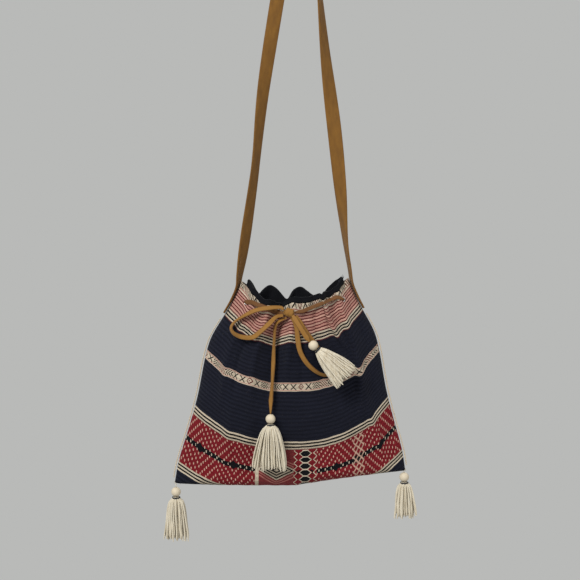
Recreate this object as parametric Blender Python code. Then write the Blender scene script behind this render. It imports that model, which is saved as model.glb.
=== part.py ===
# Drawstring shoulder bag of banded woven cloth, hanging from its strap.
# Metres, +Z up, +X to the right and -Y towards the viewer. The bag is worked out
# from its base line and then lowered, so that the strap's resting point is the origin.
import math

import bmesh
import bpy
import numpy as np
from mathutils import Matrix, Vector

# The bag's cloth
BASE_WIDTH = 0.2964
MOUTH_WIDTH = 0.1360
MOUTH_SHIFT = 0.0065  # the mouth's middle lies this far right of the base's
SEAM_HEIGHT = 0.2545  # between a bottom corner and the top of its side seam
CORNER_TILT = 0.0190  # the right corner hangs this much higher
SIDE_DROP = 0.1532 * SEAM_HEIGHT  # how much further the middle of the cloth hangs than its sides
BACK_DIP = 0.082 * SEAM_HEIGHT
PANEL_THICKNESS = 0.0016
LINING_THICKNESS = 0.0010
SEWN_GAP = 0.0003
SEAM_CLEAR = 0.0010  # more, where a cord or strap lies along the curved side seam
LINING_GAP = 0.0009
LINING_CLEAR = 0.0009  # between the lining and the eyelets' inner flanges
LINING_RIM = 0.0085
LINING_ROW = 0.035
LINING_FLOOR = 0.010  # height of the lining's bottom above the roll of the front
ROLL_RADIUS = 0.0130  # the cloth rolls under the bag in the middle
FRONT_DEPTH = 0.0310
BACK_DEPTH = 0.0260

# Woven bands, from the bottom seam up to the mouth, as shares of the side seam's height
BAND_SHARES = (
    ("navy", 0.06483),
    ("cream_lines", 0.03929),
    ("red_figures", 0.23772),
    ("cream_lines", 0.04126),
    ("navy", 0.25344),
    ("motif_strip", 0.04519),
    ("navy", 0.19843),
    ("cream_lines", 0.03929),
    ("pink_stripes", 0.11395),
    ("motif_strip", 0.04322),
)
BANDS = tuple((band, share * SEAM_HEIGHT) for band, share in BAND_SHARES)
CLOTH_HEIGHT = sum(height for _, height in BANDS)
MOUTH_Z = CLOTH_HEIGHT - SIDE_DROP  # the mouth's height in the middle

# Share of the taper from base to mouth that is left, at shares of the cloth's height
TAPER = (
    (0.0, 1.0), (0.1, 0.94), (0.25, 0.79), (0.4, 0.66), (0.6, 0.54),
    (0.7, 0.45), (0.82, 0.25), (0.92, 0.09), (1.0, 0.0), (1.05, -0.03),
)
# Share of the full depth at shares of the cloth's height
FULLNESS = ((0.0, 0.45), (0.2, 0.60), (0.4, 0.82), (0.65, 0.95), (0.85, 1.0), (1.05, 1.0))
# Gathers: place across the panel from -1 to 1, half width, how far out and how far up
FRONT_GATHERS = (
    (-0.60, 0.17, 0.0050, -0.010),
    (-0.31, 0.15, -0.0070, -0.008),
    (0.16, 0.20, 0.0025, 0.0),
    (0.50, 0.11, 0.0035, 0.002),
    (0.67, 0.09, -0.0035, -0.003),
)
BACK_GATHERS = (
    (-0.72, 0.10, -0.0030, -0.010),
    (-0.46, 0.12, 0.0045, 0.005),
    (-0.16, 0.11, -0.0065, -0.011),
    (0.10, 0.13, 0.0045, 0.006),
    (0.46, 0.20, -0.0045, -0.010),
)
GATHER_START = 0.30
FRONT_SWELL = 0.075  # height above the roll over which the front comes to its full depth
BACK_SWELL = 0.090

# Strap, of flat webbing
STRAP_WIDTH = 0.0185
STRAP_THICKNESS = 0.0020
STRAP_RISE = 0.5285  # from the height of the seams up to the strap's resting point
STRAP_DROP = SEAM_HEIGHT + STRAP_RISE
PEG_RADIUS = 0.0100  # the rounded top of the strap
STRAP_X = 0.0157

# Eyelets and lace
EYELET_SIDE = 0.83
LINING_REACH_DEG = math.degrees(math.asin(EYELET_SIDE)) + 10.0
EYELET_BELOW_MOUTH = 0.0170
EYELET_RADIUS = 0.0034
EYELET_BORE = 0.0021
EYELET_LIP = 0.0007
EYELET_FIT = 0.0004
EYELET_WALL = 0.0008  # the barrel's radius is this much less than the flange's
CUTTER_REACH = 0.004
LACE_WIDTH = 0.0064
LACE_THICKNESS = 0.0015
THINNEST = 0.55  # share of the lace's thickness left where its ends are narrowed
LACE_CORE = 0.00125  # half the lace's thickness where it is squeezed through an eyelet
KNOT_SIZE = (0.0145, 0.0090, 0.0110)
LACE_LIFT = 0.0034  # the middle of a lace that lies on the gathered cloth
LACE_START = 0.0010  # how far outside the cloth's inner face the outer lace starts
LACE_MEET = 0.0004  # and the inner lace ends
LACE_TURN = 0.0038
INSIDE_TURN = 0.0052
KNOT_LIFT = 0.0062

# Beads, bindings and tassels
BEAD_RADIUS = 0.0062
BEAD_END = 0.0058  # half of the bead's length along its bore
BINDING_RADIUS = 0.0012
NECK_RADIUS = 0.0040
NECK_EASE = 0.0006
HANG_GAP = 0.0008
PIPING_RADIUS = 0.0010
THREAD_RADIUS = 0.0006
FLUTES = 8

COLUMNS = 22
FRONT_ROW = 0.017  # about the height of each row of faces in a tall band
BACK_ROW = 0.020
HANG = Vector((STRAP_X, 0.0, STRAP_DROP))

COLOURS = {
    "navy": ((0.010, 0.011, 0.022), 0.9, 0.0),
    "cream_lines": ((0.52, 0.47, 0.38), 0.9, 0.0),
    "red_figures": ((0.25, 0.025, 0.035), 0.9, 0.0),
    "motif_strip": ((0.50, 0.42, 0.36), 0.9, 0.0),
    "pink_stripes": ((0.42, 0.20, 0.16), 0.9, 0.0),
    "lining_black": ((0.006, 0.007, 0.010), 0.85, 0.0),
    "piping_cream": ((0.50, 0.45, 0.36), 0.9, 0.0),
    "strap_tan": ((0.17, 0.080, 0.020), 0.6, 0.0),
    "lace_tan": ((0.30, 0.155, 0.040), 0.6, 0.0),
    "eyelet_silver": ((0.70, 0.69, 0.66), 0.3, 1.0),
    "bead_wood": ((0.62, 0.54, 0.42), 0.6, 0.0),
    "binding_black": ((0.010, 0.010, 0.012), 0.8, 0.0),
    "yarn_cream": ((0.60, 0.53, 0.40), 0.95, 0.0),
}


def clear_scene():
    for obj in list(bpy.data.objects):
        bpy.data.objects.remove(obj, do_unlink=True)


def material(name):
    found = bpy.data.materials.get(name)
    if found:
        return found
    colour, roughness, metallic = COLOURS[name]
    made = bpy.data.materials.new(name)
    made.use_nodes = True
    shader = made.node_tree.nodes["Principled BSDF"]
    shader.inputs["Base Color"].default_value = (*colour, 1.0)
    shader.inputs["Roughness"].default_value = roughness
    shader.inputs["Metallic"].default_value = metallic
    made.diffuse_color = (*colour, 1.0)
    return made


def add_object(name, points, faces, materials, slots=None):
    # One closed mesh, its faces turned outwards, hung below the strap's resting point.
    mesh = bpy.data.meshes.new(name)
    mesh.from_pydata([Vector(p) - HANG for p in points], [], faces)
    for slot in materials:
        mesh.materials.append(material(slot))
    if slots:
        mesh.polygons.foreach_set("material_index", slots)
    shape = bmesh.new()
    shape.from_mesh(mesh)
    bmesh.ops.recalc_face_normals(shape, faces=shape.faces)
    shape.to_mesh(mesh)
    shape.free()
    mesh.shade_smooth()
    mesh.set_sharp_from_angle(angle=math.radians(40))
    obj = bpy.data.objects.new(name, mesh)
    bpy.context.scene.collection.objects.link(obj)
    return obj


def eased(table, where):
    # A smooth curve through the table's points.
    xs = [x for x, _ in table]
    ys = [y for _, y in table]
    where = min(max(where, xs[0]), xs[-1])
    i = max(j for j in range(len(xs) - 1) if xs[j] <= where)
    slopes = []
    for j in (i, i + 1):
        a, b = max(j - 1, 0), min(j + 1, len(xs) - 1)
        slopes.append((ys[b] - ys[a]) / (xs[b] - xs[a]))
    span = xs[i + 1] - xs[i]
    t = (where - xs[i]) / span
    return (
        (2 * t**3 - 3 * t**2 + 1) * ys[i]
        + (t**3 - 2 * t**2 + t) * span * slopes[0]
        + (3 * t**2 - 2 * t**3) * ys[i + 1]
        + (t**3 - t**2) * span * slopes[1]
    )


def smooth_step(t):
    t = min(max(t, 0.0), 1.0)
    return t * t * (3 - 2 * t)


# The cloth's shape. A place on a panel is its angle round the bag, -90 to 90 degrees
# from the left seam to the right one, and its height up the cloth.


def half_width(height):
    taper = eased(TAPER, height / CLOTH_HEIGHT)
    return (MOUTH_WIDTH + (BASE_WIDTH - MOUTH_WIDTH) * taper) / 2


def middle_x(height):
    return MOUTH_SHIFT * (1 - eased(TAPER, height / CLOTH_HEIGHT))


def base_edge(across):
    # The bag's lowest line, rising towards the right corner.
    rise = max((across - 0.05) / 0.95, 0.0) ** 0.9
    return CORNER_TILT * rise + 0.0026 * max(-across, 0.0) ** 4


def seam_share(height):
    t = height / CLOTH_HEIGHT
    return t + 0.03 * math.sin(math.pi * min(t, 1.0))


def hang_share(across):
    return 1 - abs(across) ** 2.5


def straight_z(across, height):
    # Between the seams' height and that of the freely hanging middle.
    left = base_edge(-1) + (SEAM_HEIGHT + 0.006) * seam_share(height)
    right = base_edge(1) + (SEAM_HEIGHT - 0.006) * seam_share(height)
    side = left + (right - left) * (across + 1) / 2
    hang = hang_share(across)
    return side * (1 - hang) + (height - SIDE_DROP) * hang


def roll_top(across):
    # The height up the cloth where it starts to roll under.
    radius = ROLL_RADIUS * math.sqrt(hang_share(across))
    target = base_edge(across) + radius
    low, high = 0.0, CLOTH_HEIGHT / 2
    for _ in range(30):
        middle = (low + high) / 2
        if straight_z(across, middle) < target:
            low = middle
        else:
            high = middle
    return high, radius


def gathers(folds, across, height):
    strength = smooth_step((height / CLOTH_HEIGHT - GATHER_START) / (1 - GATHER_START))
    out = up = 0.0
    for place, spread, outward, upward in folds:
        bump = math.exp(-(((across - place) / spread) ** 2)) * strength
        out += outward * bump
        up += upward * bump * strength**2
    return out, up


def full_depth(depth, height):
    return depth * eased(FULLNESS, height / CLOTH_HEIGHT)


def front_inner(angle, height):
    across = math.sin(angle)
    bulge = max(math.cos(angle), 0.0)
    x = middle_x(height) + half_width(height) * across
    top, radius = roll_top(across)
    low = base_edge(across)
    if height >= top:
        out, up = gathers(FRONT_GATHERS, across, height)
        grow = smooth_step((height - top) / FRONT_SWELL)
        depth = radius + (full_depth(FRONT_DEPTH, height) * bulge - radius) * grow
        return Vector((x, -SEWN_GAP / 2 - depth - out * bulge**0.5, straight_z(across, height) + up))
    turn = min((top - height) / max(radius, 1e-6), math.pi)
    rest = max(top - height - math.pi * radius, 0.0)
    y = -SEWN_GAP / 2 - radius * math.cos(turn)
    return Vector((x, y, low + radius - radius * math.sin(turn) + rest))


def back_inner(angle, height):
    across = math.sin(angle)
    bulge = max(math.cos(angle), 0.0)
    seam = front_inner(angle, 0.0)
    x = middle_x(height) + half_width(height) * across
    out, up = gathers(BACK_GATHERS, across, height)
    grow = smooth_step(height / BACK_SWELL)
    start = max(seam.y, SEWN_GAP / 2)
    depth = start + (SEWN_GAP / 2 + full_depth(BACK_DEPTH, height) * bulge - start) * grow
    left = straight_z(-1, CLOTH_HEIGHT)
    right = straight_z(1, CLOTH_HEIGHT)
    side = left + (right - left) * (across + 1) / 2
    top = side - BACK_DIP * hang_share(across)
    z = seam.z + SEWN_GAP + (top - seam.z - SEWN_GAP) * seam_share(height)
    return Vector((x, depth + out * bulge**0.5, z + up))


def outward(surface, angle, height):
    # The cloth's outward normal, from two short steps over its surface.
    step, rise = 0.02, 0.0006
    lo, hi = max(angle - step, -math.pi / 2), min(angle + step, math.pi / 2)
    down, up = max(height - rise, 0.0), height + rise
    along = surface(hi, height) - surface(lo, height)
    upward = surface(angle, up) - surface(angle, down)
    normal = along.cross(upward)
    if surface is back_inner:
        normal = -normal
    return normal.normalized()


def on_cloth(surface, angle, height, offset):
    # A point this far outside the cloth's inner face, or inside it if negative.
    return surface(angle, height) + outward(surface, angle, height) * offset


def front_at(x, below, lift):
    # The point this far in front of the front panel's outer face, at this distance across
    # and below the mouth in the view.
    z = MOUTH_Z - below
    height, across = CLOTH_HEIGHT * 0.5, 0.0
    for _ in range(12):
        across = max(min((x - middle_x(height)) / half_width(height), 0.98), -0.98)
        low, high = 0.02, CLOTH_HEIGHT * 1.03
        for _ in range(22):
            height = (low + high) / 2
            if front_inner(math.asin(across), height).z < z:
                low = height
            else:
                high = height
    point = front_inner(math.asin(across), height)
    return Vector((x, point.y - PANEL_THICKNESS - lift, z))


def band_edges():
    edges = [0.0]
    for _, height in BANDS:
        edges.append(edges[-1] + height)
    return edges


def panel_rows(longest):
    # Rows at every band's edge, and between them where a band is tall.
    rows = [0.0]
    for low, high in zip(band_edges(), band_edges()[1:]):
        parts = max(1, round((high - low) / longest))
        rows += [low + (high - low) * (i + 1) / parts for i in range(parts)]
    return rows


def band_at(height):
    for i, edge in enumerate(band_edges()[1:]):
        if height < edge:
            return i
    return len(BANDS) - 1


def make_panel(name, surface, longest):
    rows = panel_rows(longest)
    angles = [math.pi * (i / COLUMNS - 0.5) for i in range(COLUMNS + 1)]
    inner = [[on_cloth(surface, a, h, 0.0) for a in angles] for h in rows]
    outer = [[on_cloth(surface, a, h, PANEL_THICKNESS) for a in angles] for h in rows]
    wide = len(angles)
    points = [p for row in inner for p in row] + [p for row in outer for p in row]
    shift = len(rows) * wide
    names = sorted({band for band, _ in BANDS})
    faces, slots = [], []
    for r in range(len(rows) - 1):
        slot = names.index(BANDS[band_at((rows[r] + rows[r + 1]) / 2)][0])
        for c in range(wide - 1):
            a, b = r * wide + c, r * wide + c + 1
            faces.append((a, b, b + wide, a + wide))
            faces.append((a + shift, a + wide + shift, b + wide + shift, b + shift))
            slots += [slot, slot]
        for c, turn in ((0, 1), (wide - 1, -1)):
            a = r * wide + c
            faces.append((a, a + wide, a + wide + shift, a + shift)[::turn])
            slots.append(slot)
    for r in (0, len(rows) - 1):
        slot = names.index(BANDS[0 if r == 0 else -1][0])
        for c in range(wide - 1):
            a = r * wide + c
            faces.append((a, a + 1, a + 1 + shift, a + shift))
            slots.append(slot)
    return add_object(name, points, faces, names, slots)


def make_lining():
    # A pouch inside the panels, whose hem is turned out over their top edges.
    reach = math.radians(LINING_REACH_DEG)
    angles = [math.pi * (i / COLUMNS - 0.5) for i in range(COLUMNS + 1)]
    angles = [a for a in angles if abs(a) <= reach]
    rows = [r for r in panel_rows(LINING_ROW) if 0.03 < r < CLOTH_HEIGHT - 0.004]
    lowest = rows[0]
    inside, far_inside = -LINING_GAP, -LINING_GAP - LINING_THICKNESS
    proud = PANEL_THICKNESS + SEWN_GAP
    top = CLOTH_HEIGHT + LINING_RIM
    chain = [(h, inside) for h in rows]
    hem = CLOTH_HEIGHT + 2 * SEWN_GAP
    chain += [(hem, inside), (hem, proud), (top - 0.001, proud)]
    chain += [(top, (proud + far_inside) / 2), (top - 0.001, far_inside)]
    chain.append((CLOTH_HEIGHT - 0.004, far_inside))
    chain += [(h, far_inside) for h in reversed(rows)]
    points = []
    for height, offset in chain:
        floor = LINING_THICKNESS if offset == far_inside else 0.0
        for surface, order in ((front_inner, angles), (back_inner, angles[::-1])):
            for angle in order:
                level = height
                if surface is front_inner:
                    start = roll_top(math.sin(angle))[0] + LINING_FLOOR
                    level = start + (height - lowest) * (CLOTH_HEIGHT - start) / (CLOTH_HEIGHT - lowest)
                if height == lowest:
                    level += floor
                points.append(on_cloth(surface, angle, level, offset))
    loop = 2 * len(angles)
    faces = []
    for r in range(len(chain) - 1):
        for c in range(loop):
            a, b = r * loop + c, r * loop + (c + 1) % loop
            faces.append((a, b, b + loop, a + loop))
    for r in (0, len(chain) - 1):
        for c in range(len(angles) - 1):
            a, b = r * loop + c, r * loop + c + 1
            faces.append((a, b, r * loop + loop - 2 - c, r * loop + loop - 1 - c))
    return add_object("lining", points, faces, ["lining_black"])


def curve_through(points, count):
    # Points evenly spaced on a smooth curve through the given ones.
    points = [Vector(p) for p in points]
    ends = [2 * points[0] - points[1]] + points + [2 * points[-1] - points[-2]]
    dense = []
    for i in range(1, len(ends) - 2):
        a, b, c, d = ends[i - 1 : i + 3]
        for t in np.linspace(0, 1, 16, endpoint=False):
            square = (2 * a - 5 * b + 4 * c - d) * t**2
            cube = (3 * b - a - 3 * c + d) * t**3
            dense.append(0.5 * (2 * b + (c - a) * t + square + cube))
    dense.append(points[-1])
    lengths = np.cumsum([0] + [(q - p).length for p, q in zip(dense, dense[1:])])
    where = np.linspace(0, lengths[-1], count)
    columns = [np.interp(where, lengths, [p[k] for p in dense]) for k in range(3)]
    return [Vector(p) for p in zip(*columns)]


def ribbon(name, route, width, thickness, turns, colour, count, ends=(1.0, 1.0)):
    # A flat band swept along its route. Turns are angles in degrees along the way: at 0
    # its face looks to the front, and at 90 its edge does. The ends may be narrowed.
    path = curve_through(route, count)
    outline = ((1, 0.4), (0.85, 1), (-0.85, 1), (-1, 0.4), (-1, -0.4), (-0.85, -1), (0.85, -1), (1, -0.4))
    points, faces = [], []
    for i, p in enumerate(path):
        share = i / (count - 1)
        tangent = (path[min(i + 1, count - 1)] - path[max(i - 1, 0)]).normalized()
        side = tangent.cross(Vector((0, 1, 0))).normalized()
        turn = math.radians(float(np.interp(share, np.linspace(0, 1, len(turns)), turns)))
        side = Matrix.Rotation(turn, 3, tangent) @ side
        face = tangent.cross(side)
        narrow = min(1.0, ends[0] + share * 8 * (1 - ends[0]), ends[1] + (1 - share) * 8 * (1 - ends[1]))
        half, deep = width / 2 * narrow, thickness / 2 * max(narrow, THINNEST)
        points += [p + side * half * u + face * deep * v for u, v in outline]
    sides = len(outline)
    for i in range(count - 1):
        for k in range(sides):
            a, b = i * sides + k, i * sides + (k + 1) % sides
            faces.append((a, b, b + sides, a + sides))
    faces += [tuple(range(sides))[::-1], tuple(range((count - 1) * sides, count * sides))]
    return add_object(name, points, faces, [colour])


def frame_of(direction):
    # Across, depth and down, for what hangs along this direction in front of the bag.
    down = Vector(direction).normalized()
    depth = Vector((0, 1, 0))
    across = depth.cross(down).normalized()
    return across, depth, down


def turned(name, origin, direction, profile, sides, colour, flat=1.0, closed=False, flute=None):
    # A profile of (radius, distance down) turned about its direction.
    across, depth, down = frame_of(direction)
    points, faces = [], []
    for i, (radius, along) in enumerate(profile):
        for k in range(sides):
            a = 2 * math.pi * k / sides
            r = radius * (flute(i, k) if flute else 1.0)
            squash = flat[i] if isinstance(flat, (list, tuple)) else flat
            points.append(origin + across * r * math.cos(a) + depth * r * squash * math.sin(a) + down * along)
    rings = len(profile)
    for i in range(rings if closed else rings - 1):
        for k in range(sides):
            a, b = i * sides + k, i * sides + (k + 1) % sides
            c, d = (i + 1) % rings * sides + (k + 1) % sides, (i + 1) % rings * sides + k
            faces.append((a, b, c, d))
    if not closed:
        faces += [tuple(range(sides))[::-1], tuple(range((rings - 1) * sides, rings * sides))]
    return add_object(name, points, faces, [colour])


def make_bead(name, top, direction):
    flat_radius = math.sqrt(BEAD_RADIUS**2 - BEAD_END**2)
    first = math.asin(flat_radius / BEAD_RADIUS)
    angles = np.linspace(first, math.pi - first, 6)
    profile = [(BEAD_RADIUS * math.sin(a), BEAD_END - BEAD_RADIUS * math.cos(a)) for a in angles]
    return turned(name, top, direction, profile, 10, "bead_wood")


def make_tassel(prefix, top, direction, length, spread, flat):
    # A wooden bead, and below it a skirt of yarn with a thread binding round its neck.
    make_bead(prefix + "_bead", top, direction)
    neck_top = BEAD_END + BEAD_RADIUS + SEWN_GAP
    binding_at = neck_top + 0.0030
    ring = []
    for k in range(5):
        a = 2 * math.pi * k / 5
        radius = NECK_RADIUS + SEWN_GAP + BINDING_RADIUS * (1 + math.cos(a))
        ring.append((radius, binding_at + BINDING_RADIUS * math.sin(a)))
    turned(prefix + "_binding", top, direction, ring, 10, "binding_black", closed=True)
    shoulder = binding_at + BINDING_RADIUS + 0.0014
    shape = ((0.0, 0.0), (0.10, 0.30), (0.35, 0.62), (0.65, 0.84), (1.0, 1.0))
    profile = [(NECK_RADIUS * 0.8, neck_top), (NECK_RADIUS, neck_top + NECK_EASE)]
    profile.append((NECK_RADIUS, shoulder - NECK_EASE))
    flats = [1.0, 1.0, 1.0]
    for share, wide in shape:
        radius = NECK_RADIUS + 0.0008 + (spread / 2 - NECK_RADIUS - 0.0008) * wide
        profile.append((radius, shoulder + (length - shoulder) * share))
        flats.append(1.0 - (1.0 - flat) * wide)

    def flute(i, k):
        return 1.0 if i < 4 or k % 2 == 0 else 0.88

    turned(prefix + "_skirt", top, direction, profile, FLUTES * 2, "yarn_cream", flat=flats, flute=flute)


def make_piping(name, side):
    # The cream selvedge cord along a side seam, from the corner to below the strap's end.
    points = []
    for i in range(14):
        height = 0.006 + (CLOTH_HEIGHT * 0.80 - 0.006) * i / 13
        seam = front_inner(side * math.pi / 2, height)
        clear = PANEL_THICKNESS + SEWN_GAP + SEAM_CLEAR + PIPING_RADIUS
        points.append((seam.x + side * clear, 0.0, seam.z))
    curve = bpy.data.curves.new(name, "CURVE")
    curve.dimensions = "3D"
    curve.bevel_depth = PIPING_RADIUS
    curve.bevel_resolution = 1
    curve.use_fill_caps = True
    spline = curve.splines.new("POLY")
    spline.points.add(len(points) - 1)
    for target, p in zip(spline.points, points):
        target.co = (*(Vector(p) - HANG), 1.0)
    curve.materials.append(material("piping_cream"))
    obj = bpy.data.objects.new(name, curve)
    bpy.context.scene.collection.objects.link(obj)
    return obj


# The strap's places on its way up, across the bag and up from the height of the seams,
# with its turn in degrees: 0 faces the viewer and 90 shows its edge.
SEWN_TURNS = ((0.83, 90), (0.90, 88), (0.97, 80))
LEFT_STRAP = (
    (-0.0655, 0.0175, 66),
    (-0.0585, 0.0625, 46),
    (-0.0480, 0.1345, 57),
    (-0.0437, 0.1705, 62),
    (-0.0345, 0.2590, 34),
    (-0.0166, 0.3745, 6),
    (-0.0020, 0.4605, -50),
)
RIGHT_STRAP = (
    (0.0775, 0.0255, 84),
    (0.0719, 0.0625, 76),
    (0.0650, 0.1345, 32),
    (0.0576, 0.2070, 0),
    (0.0468, 0.2965, -42),
    (0.0394, 0.3745, -68),
    (0.0330, 0.4455, -84),
)


def strap_side(side, places):
    # One side of the strap, from where it is sewn to the seam up towards the resting point.
    route = []
    for share, turn in SEWN_TURNS:
        seam = front_inner(side * math.pi / 2, CLOTH_HEIGHT * share)
        clear = PANEL_THICKNESS + SEWN_GAP + SEAM_CLEAR + STRAP_THICKNESS / 2
        route.append(((seam.x + side * clear, 0.0, seam.z), turn))
    return route + [((x, 0.0, SEAM_HEIGHT + above), turn) for x, above, turn in places]


def strap_route():
    centre = Vector((STRAP_X, 0, STRAP_DROP - PEG_RADIUS))
    bend = PEG_RADIUS + STRAP_THICKNESS / 2
    over = []
    for a in np.linspace(0, math.pi, 7):
        over.append(((centre.x - bend * math.cos(a), 0, centre.z + bend * math.sin(a)), -90))
    return strap_side(-1, LEFT_STRAP) + over + strap_side(1, RIGHT_STRAP)[::-1]


def make_strap():
    route = strap_route()
    count = 56
    path = curve_through([p for p, _ in route], count)
    lengths = np.cumsum([0] + [(q - p).length for p, q in zip(path, path[1:])])
    stations = [min(range(count), key=lambda i, p=p: (path[i] - Vector(p)).length) for p, _ in route]
    turns = np.interp(lengths, [lengths[s] for s in stations], [t for _, t in route])
    places = [p for p, _ in route]
    return ribbon("shoulder_strap", places, STRAP_WIDTH, STRAP_THICKNESS, list(turns), "strap_tan", count)


def eyelet_place(surface, side):
    angle = side * math.asin(EYELET_SIDE)
    height = CLOTH_HEIGHT - EYELET_BELOW_MOUTH
    return surface(angle, height), outward(surface, angle, height)


def make_eyelet(name, surface, side):
    # A flanged ring through the panel and the lining, and the cutter for its hole.
    middle, normal = eyelet_place(surface, side)
    inner = -LINING_GAP - LINING_THICKNESS - LINING_CLEAR
    outer = PANEL_THICKNESS + SEWN_GAP
    barrel = EYELET_RADIUS - EYELET_FIT - EYELET_WALL
    profile = [
        (EYELET_BORE, inner - EYELET_LIP),
        (EYELET_RADIUS, inner - EYELET_LIP),
        (EYELET_RADIUS, inner),
        (barrel, inner),
        (barrel, outer),
        (EYELET_RADIUS, outer),
        (EYELET_RADIUS, outer + EYELET_LIP),
        (EYELET_BORE, outer + EYELET_LIP),
    ]
    across = normal.cross(Vector((0, 0, 1))).normalized()
    upward = across.cross(normal)

    def lathe(label, rings, radius_of, sides, closed):
        points, faces = [], []
        for radius, along in rings:
            for k in range(sides):
                a = 2 * math.pi * k / sides
                r = radius_of(radius)
                points.append(middle + (across * math.cos(a) + upward * math.sin(a)) * r + normal * along)
        total = len(rings)
        for i in range(total if closed else total - 1):
            for k in range(sides):
                a, b = i * sides + k, i * sides + (k + 1) % sides
                c, d = (i + 1) % total * sides + (k + 1) % sides, (i + 1) % total * sides + k
                faces.append((a, b, c, d))
        if not closed:
            faces += [tuple(range(sides))[::-1], tuple(range((total - 1) * sides, total * sides))]
        return add_object(label, points, faces, ["eyelet_silver"])

    lathe(name, profile, lambda r: r, 10, True)
    ends = [(0, inner - CUTTER_REACH), (0, outer + CUTTER_REACH)]
    hole = lathe(name + "_cutter", ends, lambda r: barrel + EYELET_FIT, 10, False)
    hole.hide_render = True
    hole.display_type = "WIRE"
    return hole


def cut_hole(obj, hole):
    cut = obj.modifiers.new("hole_" + hole.name, "BOOLEAN")
    cut.operation = "DIFFERENCE"
    cut.object = hole
    cut.solver = "EXACT"


def make_knot(centre):
    # The bow's knot: a rounded lump of wrapped lace.
    wide, deep, tall = (size / 2 for size in KNOT_SIZE)
    profile = []
    for a in np.linspace(0.35, math.pi - 0.35, 6):
        profile.append((wide * math.sin(a) ** 0.7, tall - tall * math.cos(a)))
    top = centre + Vector((0, 0, tall))
    return turned("bow_knot", top, (0, 0, -1), profile, 12, "lace_tan", flat=deep / wide)


def evenly(start, end, count):
    return [tuple(p) for p in np.linspace(start, end, count)]


def make_laces():
    # The drawstring: from the knot out to each front eyelet, inside the bag to the back
    # ones and across the back, then the bow's two loops and the two hanging tails.
    left, left_out = eyelet_place(front_inner, -1)
    right, right_out = eyelet_place(front_inner, 1)
    back_left, back_left_out = eyelet_place(back_inner, -1)
    back_right, back_right_out = eyelet_place(back_inner, 1)
    squeeze = 0.36
    knot = front_at(-0.0013, 0.0114, KNOT_LIFT)
    make_knot(knot)
    start = left + left_out * LACE_START
    route = [start, start + left_out * LACE_TURN]
    route += [front_at(x, below, LACE_LIFT) for x, below in evenly((-0.0490, -0.0015), (-0.0180, 0.0105), 7)]
    route.append(knot + Vector((-0.0067, 0.0032, -0.0008)))
    turns = [0, 20, 0, 0, 0]
    ribbon("lace_front_left", route, LACE_WIDTH, LACE_THICKNESS, turns, "lace_tan", 18, ends=(squeeze, 0.5))
    start = right + right_out * LACE_START
    route = [start, start + right_out * LACE_TURN]
    route += [front_at(x, below, LACE_LIFT) for x, below in evenly((0.0600, -0.0080), (0.0160, 0.0095), 9)]
    route.append(knot + Vector((0.0070, 0.0032, 0.0)))
    ribbon("lace_front_right", route, LACE_WIDTH, LACE_THICKNESS, turns, "lace_tan", 18, ends=(squeeze, 0.5))
    for name, front, front_out, back, back_out in (
        ("lace_inside_left", left, left_out, back_left, back_left_out),
        ("lace_inside_right", right, right_out, back_right, back_right_out),
    ):
        a, b = front - front_out * INSIDE_TURN, back - back_out * INSIDE_TURN
        middle = (a + b) / 2 - (front_out + back_out) * 0.0035
        route = [front + front_out * LACE_MEET, a, middle, b, back + back_out * LACE_MEET]
        ribbon(name, route, 2 * LACE_CORE, 2 * LACE_CORE, [0, 0], "lace_tan", 11)
    start = back_left + back_left_out * LACE_START
    route = [start, start + back_left_out * LACE_TURN]
    for side in np.linspace(-0.66, 0.66, 14):
        height = CLOTH_HEIGHT - EYELET_BELOW_MOUTH
        route.append(on_cloth(back_inner, math.asin(side), height, PANEL_THICKNESS + LACE_LIFT))
    route.append(back_right + back_right_out * LACE_TURN)
    route.append(back_right + back_right_out * LACE_START)
    ribbon("lace_back", route, LACE_WIDTH, LACE_THICKNESS, [0, 0], "lace_tan", 30, ends=(squeeze, squeeze))
    make_bow(knot)


def make_bow(knot):
    for name, places, turns in BOW:
        route = [knot + Vector(places[0][:3])]
        route += [front_at(*place) for place in places[1:-1]]
        route.append(knot + Vector(places[-1][:3]))
        ribbon(name, route, LACE_WIDTH, LACE_THICKNESS, turns, "lace_tan", 22, ends=(0.55, 0.55))
    for prefix, places, turns, direction, length, spread, flat in TAILS:
        route = [knot + Vector(places[0])]
        route += [front_at(*place) for place in places[1:]]
        direction = Vector(direction).normalized()
        ribbon(prefix + "_lace", route, LACE_WIDTH, LACE_THICKNESS, turns, "lace_tan", 18, ends=(0.55, 0.24))
        make_tassel(prefix, route[-1] + direction * HANG_GAP, direction, length, spread, flat)


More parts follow.
